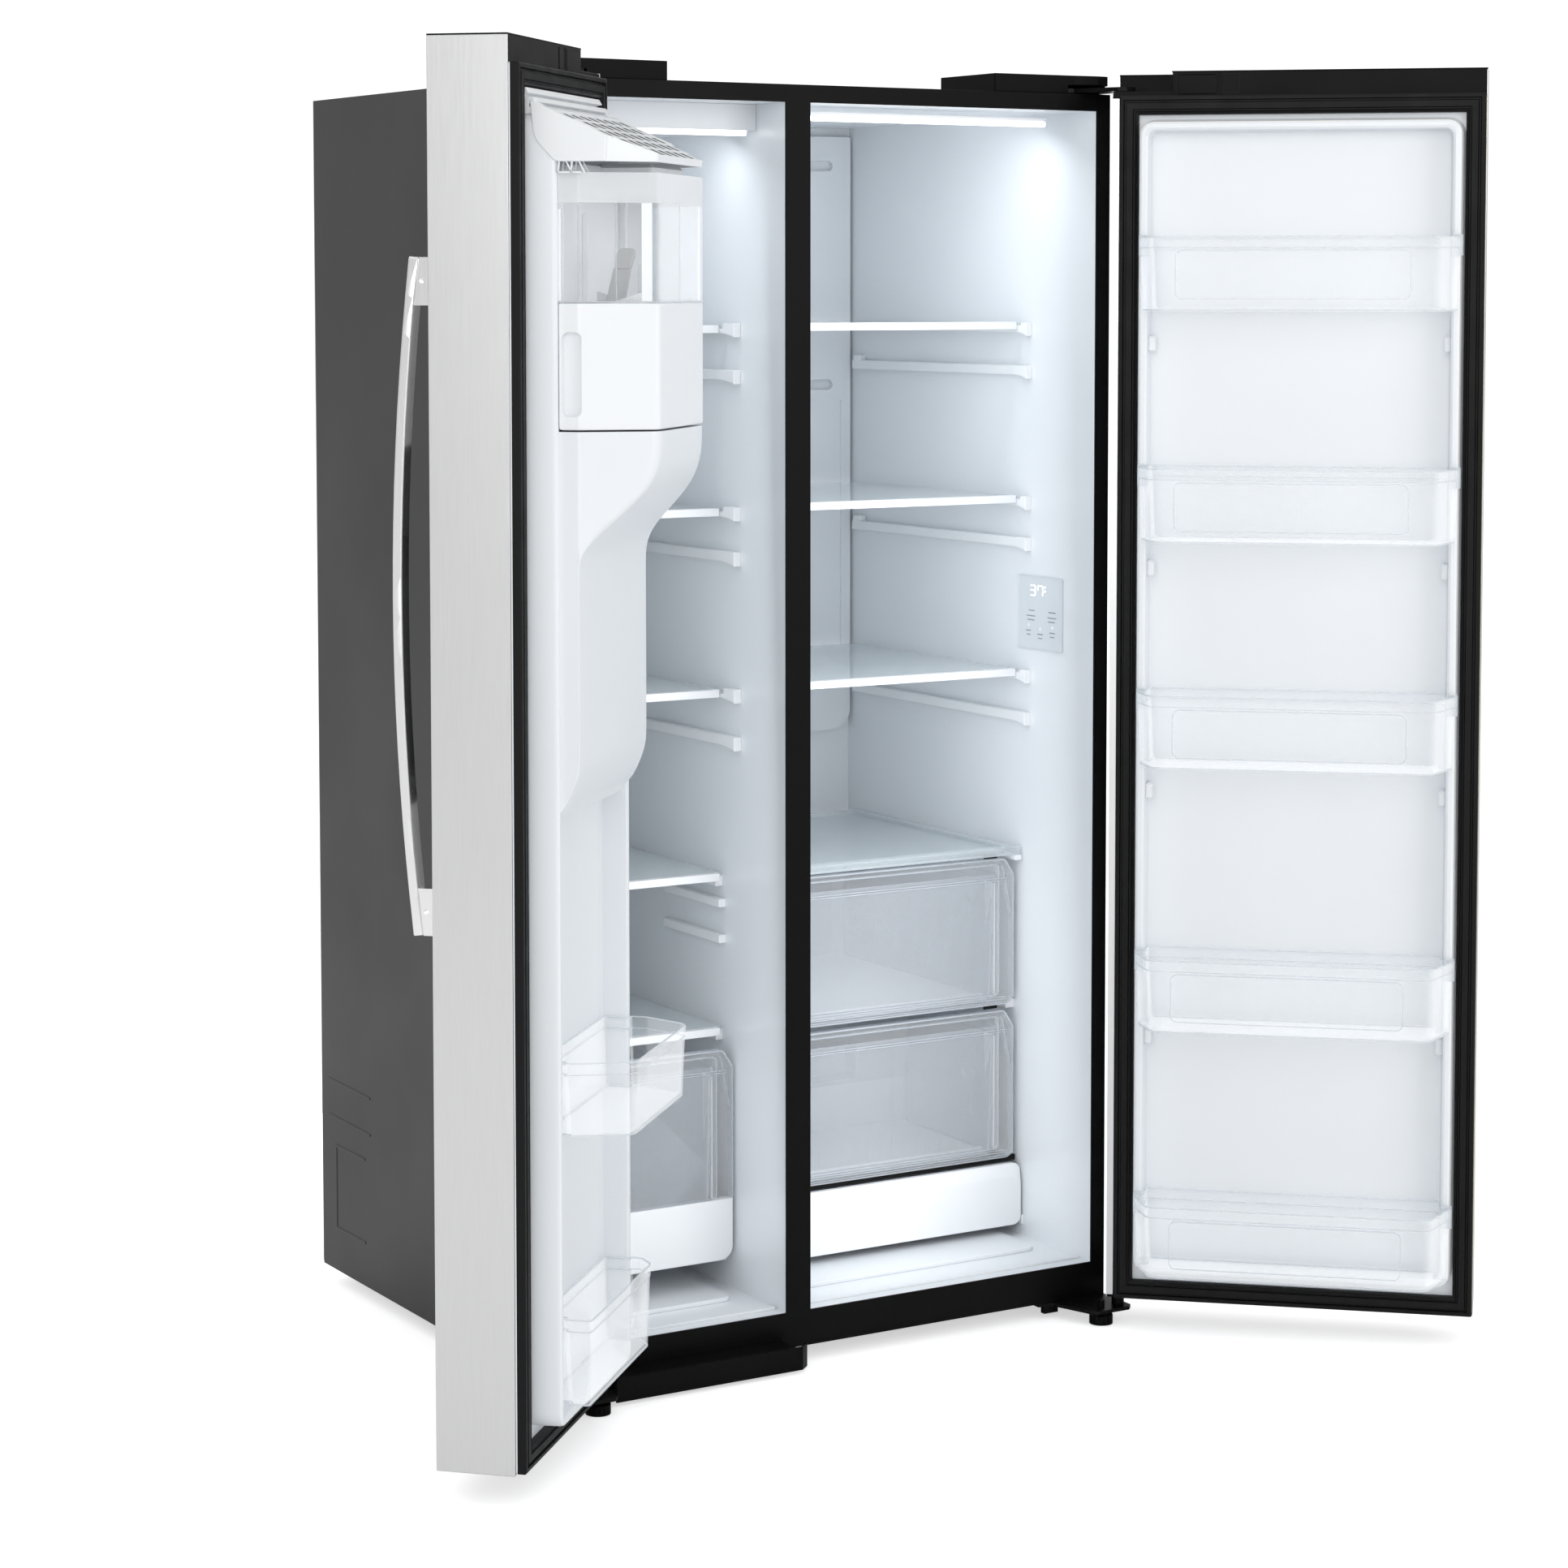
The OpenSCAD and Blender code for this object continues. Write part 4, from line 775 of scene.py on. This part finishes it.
ICE_OUTLINE = [(-394, 3), (-119, 3), (-119, 35.4), (-107, 35.4), (-107, 62), (-150, 150), (-355, 150),
               (-403, 62), (-403, 35.4), (-394, 35.4)]
ICE_RADII = [4, 4, 0.5, 1.5, 16, 10, 10, 16, 1.5, 0.5]
ICE_TOP = 1627
BAND_Z = 1591


def ice_ring(d, z):
    return ring(fillet(inset(ICE_OUTLINE, d), ICE_RADII, 5), "z", z)


def ice_bin():
    """Clear bin on a white tray: frosted band, white posts and white rear and far walls that glow faintly with
    painted light, gate lever.
    """
    z0 = node_box("ice_bin", FREEZER_DOOR)[0].z
    base_low = node_box("ice_bin_base", FREEZER_DOOR)[0].z
    back_top = 1556
    def open_back(points):
        return [(x, y, back_top if y < 24 else z) for x, y, z in points]
    bm = loft(bmesh.new(), [ice_ring(0.2, z0), open_back(ice_ring(0.2, ICE_TOP - 0.8)),
                            open_back(ice_ring(0.8, ICE_TOP)), open_back(ice_ring(2.0, ICE_TOP)),
                            open_back(ice_ring(2.6, ICE_TOP - 0.8)), ice_ring(2.6, z0)], closed=True)
    tub = piece("ice_bin_walls", bm, "ice_bin", "clear_plastic")
    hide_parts("ice_bin")

    band, inner = inset(ICE_OUTLINE, -0.1), inset(ICE_OUTLINE, 2.7)
    strip = [band[i] for i in (3, 4, 5, 6, 7, 8)] + [inner[i] for i in (8, 7, 6, 5, 4, 3)]
    strip = fillet(strip, [0, 16, 10, 10, 16, 0, 0, 14, 8, 8, 14, 0], 4)
    bm = prism(bmesh.new(), strip, "z", BAND_Z, ICE_TOP + 0.2)
    piece("ice_bin_band", bm, "ice_bin", "clear_plastic", FROSTED)

    bm = bmesh.new()
    block(bm, (-118, 30, z0), (-110, 38, 1584), 1)
    prism(bm, [(-146.5, 141), (-141, 130), (-143.5, 129), (-149.5, 141)], "z", z0 + 1, BAND_Z)
    prism(bm, [(-352, 146), (-343, 146), (-343, 144), (-352, 144)], "z", z0 + 1, BAND_Z)
    block(bm, (-396, 24.5, z0), (-116, 26.5, 1600), 0.5)
    block(bm, (-399.5, 36, z0), (-397.5, 62, 1600), 0.5)
    block(bm, (-240, 27, z0), (-236, 34, 1580), 1)
    # The posts and the rear and far walls glow faintly: painted light
    piece("ice_bin_posts", bm, "ice_bin", "white_plastic", MILKY_PAINTED_GLOW)

    bm = bmesh.new()
    for x, y in ((-109.5, 60), (-131, 101), (-399, 60), (-250, 147.5)):
        disc(bm, (x, y), "z", 0.9, z0 + 1, BAND_Z, 0.2, 10)
    loft(bm, [ice_ring(-0.1, z0 + 0.2), ice_ring(-0.1, z0 + 2.2), ice_ring(1.2, z0 + 2.2),
              ice_ring(1.2, z0 + 0.2)], closed=True)
    piece("ice_bin_ribs", bm, "ice_bin", "clear_plastic", CLEAR_LINE)

    bm = loft(bmesh.new(), [ice_ring(3, base_low), ice_ring(1.2, base_low + 0.8),
                            ice_ring(0.2, base_low + 2.6), ice_ring(0.1, base_low + 10),
                            ice_ring(0, z0 - 2), ice_ring(0.8, z0 - 0.6), ice_ring(2.6, z0 - 0.4),
                            ice_ring(3, z0 - 2), ice_ring(18, z0 - 4), ice_ring(30, z0 - 8)])
    base = piece("ice_bin_tray", bm, "ice_bin", "white_plastic")
    grip = round_rectangle(39, 64, 1334, 1436, 8)
    carve(base, loft(bmesh.new(), [ring(grip, "x", -115), ring(grip, "x", -90)]))
    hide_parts("ice_bin_base")

    stem = [(68, z0), (92, z0), (100, 1513), (78, 1513)]
    bm = prism(bmesh.new(), fillet(stem, 1.5, 2), "x", -203, -197, 0.8)
    head = [(80, 1512), (99, 1512), (105, 1530), (102, 1537), (87, 1537), (82, 1530)]
    prism(bm, fillet(head, [1, 4, 4, 4, 4, 3], 3), "x", -206, -195, 1.0)
    piece("ice_gate_lever", bm, "ice_bin", "white_plastic", GREY_LEVER)

    # Wall behind the ice maker, with a faint glow of painted light
    piece("ice_maker_wall", block(bmesh.new(), (-394, 24.5, 1601), (-116, 26.5, 1640), 0.5),
          "freezer_door", "white_plastic", MILKY_PAINTED_GLOW)
    bm = block(bmesh.new(), (-345, 54, 1606), (-205, 128, 1640), 8)
    block(bm, (-345, 30, 1618), (-140, 60, 1640), 5)
    maker = piece("ice_maker_body", bm, "freezer_door", "white_plastic")
    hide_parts("ice_maker")


ice_bin()


def roof_z(y):
    """Height of the canopy's roof over the ice bin."""
    return 1702 - (y - 30) * 0.455


def ice_hood():
    """White canopy over the ice bin: side cheeks, a pierced roof with a lip, and a ribbed cornice above."""
    x0, x1 = -398, -112
    bm = bmesh.new()
    cheek = [(3, 1716), (20, 1706), (36, 1699), (60, 1688), (98, 1671), (96, 1640), (34, 1640), (8, 1668)]
    radii = [3, 8, 8, 8, 2, 2, 14, 30]
    prism(bm, fillet(cheek, radii, 6), "x", x1 - 4, -99.2, 0.8)
    prism(bm, fillet(cheek, radii, 6), "x", x0, x0 + 4, 0.8)
    # Lip across the front, and the slanted ends that join it to the cheeks
    plan = [(-99.5, 84), (-108, 96), (-148, 149), (-357, 149), (x0, 84), (x0 + 4, 82), (-355, 144.5),
            (-150, 144.5), (-112, 94), (-104, 82)]
    prism(bm, fillet(plan, [1, 3, 8, 8, 1, 1, 6, 6, 3, 1], 3), "z", 1640, 1649, 0.6)
    slope = [(-99.5, 86, 1676), (-148, 149, 1650), (-152, 146, 1650), (-104, 84, 1676)]
    loft(bm, [[(x, y, 1645) for x, y, _ in slope], slope])
    hood = piece("ice_bin_canopy", bm, "freezer_door", "white_plastic")

    def reach_in(y):
        """How far the slanted ends take from the roof's width at depth y."""
        return max(0, y - 90) / 59
    bm = bmesh.new()
    rows = [30, 53, 76, 99, 122, 145]
    for y in rows:
        z, cut = roof_z(y), reach_in(y)
        prism(bm, [(y, z), (y + 4.5, z - 2.05), (y + 4.5, z - 3.1), (y, z - 1.1)], "x",
              x0 + 4 + 41 * cut, x1 + 8 - 46 * cut, 0.4)
    for k, (y_a, y_b) in enumerate(zip(rows, rows[1:])):
        x = x0 + 18 + 17 * (k % 2)
        while x < x1 + 4 - 46 * reach_in(y_b):
            if x > x0 + 8 + 41 * reach_in(y_b):
                z_a, z_b = roof_z(y_a), roof_z(y_b)
                prism(bm, [(y_a, z_a - 0.1), (y_b + 1, z_b - 0.1), (y_b + 1, z_b - 1.3), (y_a, z_a - 1.3)],
                      "x", x, x + 7, 0.4)
            x += 34
    piece("ice_bin_canopy_grille", bm, "freezer_door", "white_plastic")
    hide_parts("ice_hood")
    # Dark tray that shows through the grille
    corners = [(x0 + 6, 32), (x1 + 6, 32), (x1 + 6, 90), (-154, 142), (-352, 142), (x0 + 6, 88)]
    bm = loft(bmesh.new(), [[(x, y, roof_z(y) - under) for x, y in corners] for under in (5, 2.2)])
    piece("ice_bin_canopy_tray", bm, "freezer_door", "dispenser_plastic", DARK_VENT)

    # Ribs with deep grooves between them, from the seal down to the roof
    ribs = [(-12.5, 1741), (-8, 1740), (-6, 1733), (-12, 1731.5), (-12, 1728.5), (-2, 1729), (2, 1722),
            (-6, 1720), (-6, 1716.5), (7, 1717.5), (12, 1711.5), (2, 1709), (2, 1706), (17, 1707),
            (27, 1702.5), (30, 1697), (-12.5, 1697)]
    bm = prism(bmesh.new(), ribs, "x", FREEZER_RIM_X0 + 2, FREEZER_RIM_X1 - 1, 0.8)
    piece("freezer_door_cornice", bm, "freezer_door", "white_plastic", bevel=0.5)

    bm = bmesh.new()
    for x in (-104, -122):
        for k in range(4):
            y = 38 + 8 * k
            slant = 8 if k % 2 else -2
            prism(bm, [(y, 1641), (y + 1.8, 1641), (y + 1.8 + slant, 1626), (y + slant, 1626)],
                  "x", x, x + 2)
        prism(bm, [(36, 1626), (66, 1626), (66, 1628.2), (36, 1628.2)], "x", x, x + 2)
    piece("ice_bin_canopy_braces", bm, "freezer_door", "white_plastic")


ice_hood()


# ---- Sliding drawers ----

def front_shape(x0, x1, z0, z1, d=0.0):
    """Front of a drawer: round lower corners, upper corners cut off at a slant."""
    x0, x1, z0, z1 = x0 + d, x1 - d, z0 + d, z1 - d
    corners = [(x0, z0), (x1, z0), (x1, z1 - 24), (x1 - 16, z1), (x0 + 16, z1), (x0, z1 - 24)]
    return fillet(corners, [max(14 - d, 2)] * 2 + [max(9 - d, 2)] * 4, 5)


def frame_of(bm, outer, inner, low, high):
    """Closed frame between two outlines of equally many points."""
    return loft(bm, [ring(outer, "y", low), ring(outer, "y", high),
                     ring(inner, "y", high), ring(inner, "y", low)], closed=True)


def clear_drawer(body, box, sill):
    """Clear tub behind a clear front, which reaches from sill to a little over the tub."""
    x0, x1, y0, y1, z0, z1 = box
    head = z1 + 7
    rows = []
    face = prism(bmesh.new(), front_shape(x0, x1, sill, head, 0.6), "y", y0 + 0.4, y0 + 2.6, 0.4)
    rows.append(("face", face, MATERIALS["clear_plastic"]))

    bm = frame_of(bmesh.new(), front_shape(x0, x1, sill, head),
                  front_shape(x0, x1, sill, head, 2.2), y0, y0 + 12)
    side, bottom, top = 26, 14, 30
    frame_of(bm, round_rectangle(x0 + side, x1 - side, sill + bottom, head - 8, 8),
             round_rectangle(x0 + side + 1.6, x1 - side - 1.6, sill + bottom + 1.6, head - 9.6, 7),
             y0 + 0.2, y0 + 9)
    for z in (sill + 3.6, sill + 7.6, sill + 11.2, head - top, head - top - 3.4):
        block(bm, (x0 + 12, y0 - 0.3, z), (x1 - 12, y0 + 1.4, z + 1.0), 0.3)
    for far, near in ((x1 - 20, x1 - 5), (x0 + 20, x0 + 5)):
        wing = [(far - 0.7, head - 10), (far + 0.7, head - 10),
                (near + 0.7, head - 82), (near - 0.7, head - 82)]
        prism(bm, wing, "y", y0 + 1, y0 + 9)
    rows.append(("edges", bm, CLEAR_LINE))

    def plan(d):
        return fillet([(x0 + 28 + d, y0 + 3), (x1 - 28 - d, y0 + 3), (x1 - 22 - d, y0 + 60),
                       (x1 - 22 - d, y1 - 2 - d), (x0 + 22 + d, y1 - 2 - d), (x0 + 22 + d, y0 + 60)],
                      [6, 6, 10, 18, 18, 10], 4)
    # Up the outside, over the rim and down the inside
    tub_top = z1 - 16
    walls = ((16, z0 + 1), (11, z0 + 3), (9, z0 + 10), (3, tub_top - 14), (0.5, tub_top - 12),
             (0, tub_top - 1), (0.6, tub_top), (2, tub_top), (2.4, tub_top - 12), (5.2, tub_top - 15),
             (11.2, z0 + 11), (14, z0 + 4))
    tub = loft(bmesh.new(), [ring(plan(d), "z", z) for d, z in walls])
    rows.append(("tub", tub, TUB_CLEAR))

    bm = prism(bmesh.new(), plan(15), "z", z0 + 4.6, z0 + 6.4, 0.4)
    block(bm, (x0 + 40, y0 + 20, z0 + 6.4), (x1 - 40, y0 + 26, z0 + 12), 1.5)
    for x in (x0 + 31, x1 - 33):
        loft(bm, [ring([(x, y0 + 4), (x + 2, y0 + 4), (x + 2, y0 + 22), (x, y0 + 22)], "z", z0 + 12),
                  ring([(x, y0 + 4), (x + 2, y0 + 4), (x + 2, y0 + 30), (x, y0 + 30)], "z", z1 - 30)])
    rows.append(("floor", bm, FROSTED))

    # Recess in the rear wall and the ledge above it
    bm = bmesh.new()
    wide = x1 - x0
    x_a, x_b = x0 + 0.12 * wide, x0 + 0.7 * wide
    z_a = z0 + 0.42 * (z1 - z0)
    hoop(bm, (x_a, x_b, z_a, z_a + 52), 10, "y", [(0, y1 - 46), (0, y1 - 14), (2, y1 - 14), (2, y1 - 46)])
    block(bm, (x_a + 2, y1 - 17, z_a + 2), (x_b - 2, y1 - 15, z_a + 50), 1)
    rows.append(("recess", bm, TUB_CLEAR))
    return [piece(f"{body}_{label}", bm, body, "clear_plastic", mat) for label, bm, mat in rows]


def drawers():
    for name in ("upper_crisper", "lower_crisper"):
        low, high = node_box(name)
        for part in clear_drawer(name, (low.x + 2, high.x - 2, low.y, high.y, low.z, high.z), low.z - 4):
            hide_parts(name)
    tub, tub_end = node_box("freezer_drawer")
    front, front_end = node_box("freezer_drawer_front")
    box = (front.x, front_end.x, front.y + 1, tub_end.y, tub.z, tub_end.z)
    for part in clear_drawer("freezer_drawer", box, front_end.z - 14):
        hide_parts("freezer_drawer")
    bm = bmesh.new()
    def white_front(d, z_top):
        outline = rectangle(front.x + d, front_end.x - d, front.z + d, z_top)
        return fillet(outline, [20 - d, 20 - d, 1, 1], 6)
    loft(bm, [ring(white_front(0, front_end.z), "y", front_end.y),
              ring(white_front(0, front_end.z), "y", front.y + 3),
              ring(white_front(0.9, front_end.z - 0.4), "y", front.y + 0.9),
              ring(white_front(3, front_end.z - 1.4), "y", front.y)])
    panel = piece("freezer_drawer_panel", bm, "freezer_drawer", "white_plastic")
    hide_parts("freezer_drawer_front")


drawers()


FILTER_PIN, FILTER_PIN_R = (180, 97), 3


def filter_hatch():
    """White hatch under the crispers, with a leaning band along its top, on two pins."""
    low, high = node_box("filter_cover")
    x0, x1 = low.x + 3.5, high.x - 3.5
    def face(d, top):
        return round_rectangle(x0 + d, x1 - d, low.z + d, high.z - top, 13, 6)
    bm = loft(bmesh.new(), [ring(face(0, 0), "y", high.y), ring(face(0, 0), "y", low.y + 6),
                            ring(face(0.6, 1), "y", low.y + 4.6), ring(face(2, 17), "y", low.y + 0.7),
                            ring(face(3.2, 20), "y", low.y)])
    for pin_low, pin_high in ((low.x, x0 + 1), (x1 - 1, high.x)):
        disc(bm, FILTER_PIN, "x", FILTER_PIN_R, pin_low, pin_high)
    hatch = piece("filter_hatch", bm, "filter_cover", "white_plastic")
    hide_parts("filter_cover")
    # Dark strips in the gaps over the hatch and over the lower crisper: painted shade, standing in for the shadow
    # in these gaps
    bm = block(bmesh.new(), (x0 + 2, 188, 185.4), (x1 - 2, 193, 194.6))
    block(bm, (372, 194, 417), (396, 197, 424))
    block(bm, (372, 194, 643), (396, 197, 648))
    piece("crisper_seals", bm, "cabinet", "rubber")


filter_hatch()


# ---- Light strips and compartment floors ----

def light_strips():
    """Glowing bars in white housings, under the roof of each compartment."""
    low, high = node_box("light_strips")
    freezer_end = node_box("freezer_liner")[1].x - 15
    fridge_start = node_box("fridge_liner")[0].x + 22
    for label, x0, x1, y0, z in (("freezer", low.x + 4, freezer_end, 83, low.z),
                                 ("fridge", fridge_start, high.x - 8, 71, high.z - 20.5)):
        y1 = y0 + 10
        lit = piece(f"{label}_light_bar", block(bmesh.new(), (x0, y0, z), (x1, y1, z + 7), 2.5),
                    "cabinet", "light_diffuser")
        housing = block(bmesh.new(), (x0 - 5, y0 + 3, z + 5), (x1 + 5, y1 + 5, z + 14), 3)
        piece(f"{label}_light_housing", housing, "cabinet", "white_plastic")
        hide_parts("light_strips")


def compartment_floors():
    """Shallow raised floor with a rounded front edge, and a lip along the opening."""
    for label, node in (("freezer", "freezer_liner"), ("fridge", "fridge_liner")):
        low, high = node_box(node)
        floor_z = low.z + 3
        bm = block(bmesh.new(), (low.x + 34, 92, floor_z - 1), (high.x - 34, 400, floor_z + 5), 16)
        block(bm, (low.x + 5, 24, floor_z - 1), (high.x - 5, 34, floor_z + 2.4), 2)
        piece(f"{label}_floor", bm, "cabinet", "white_liner")


def rear_flanges():
    """Folded edges of the case, which close the foam beside the compressor's cover."""
    cover_low, cover_high = node_box("compressor_cover")
    case_high = node_box("outer_case")[1]
    bm = bmesh.new()
    for side in (-1, 1):
        x0, x1 = sorted((side * (cover_high.x + 0.5), side * (case_high.x - 1)))
        block(bm, (x0, cover_low.y, cover_low.z), (x1, cover_high.y - 0.3, cover_high.z), 0.6)
    piece("case_rear_flanges", bm, "cabinet", "charcoal_paint")


light_strips()
compartment_floors()
rear_flanges()


# ---- Control panel in the fridge's side wall ----

SEGMENTS = {
    "a": ((0.1, 0.9), (0.92, 1.0)), "g": ((0.1, 0.9), (0.46, 0.54)), "d": ((0.1, 0.9), (0.0, 0.08)),
    "f": ((0.0, 0.12), (0.55, 0.92)), "b": ((0.88, 1.0), (0.55, 0.92)),
    "e": ((0.0, 0.12), (0.08, 0.45)), "c": ((0.88, 1.0), (0.08, 0.45)),
}


def panel_marks():
    """Temperature digits, key marks and the outline of the touch panel."""
    low, high = node_box("control_panel")
    face = low.x
    def mark(bm, y, z, wide, tall):
        block(bm, (face - 0.25, y - wide / 2, z - tall / 2), (face + 0.2, y + wide / 2, z + tall / 2), 0.1)
    lit = bmesh.new()
    for segments, left in (("abcdg", 160), ("abcf", 141)):
        for key in segments:
            (u0, u1), (v0, v1) = SEGMENTS[key]
            mark(lit, left - 7 * (u0 + u1), 1036 + 8 * (v0 + v1), 14 * (u1 - u0), 16 * (v1 - v0))
    for z in (1050, 1044):
        mark(lit, 122, z, 2.4, 2.4)
    piece("panel_digits", lit, "cabinet", "light_diffuser", DIGIT_GLOW)
    ink = bmesh.new()
    for y, z, wide in ((156, 1014, 15), (158, 1006, 22), (158, 1000, 18), (104, 1014, 18), (104, 1006, 22),
                       (105, 1000, 17), (164, 984, 12), (164, 978, 9), (134, 980, 14), (134, 974, 11),
                       (103, 984, 14), (103, 978, 11)):
        mark(ink, y, z, wide, 1.6)
    piece("panel_marks", ink, "cabinet", "panel_glass", MARK_INK)
    keys = bmesh.new()
    for y, z in ((164, 992), (103, 992), (134, 988)):
        disc(keys, (y, z), "x", 2.6, face - 0.3, face + 0.2, 0.1, 16)
    piece("panel_keys", keys, "cabinet", "white_plastic")
    bm = hoop(bmesh.new(), (low.y - 0.8, high.y + 0.8, low.z - 0.8, high.z + 0.8), 2, "x",
              [(0, face - 0.6), (0, face + 0.4), (1.6, face + 0.4), (1.6, face - 0.6)])
    piece("panel_rim", bm, "cabinet", "panel_glass")


panel_marks()
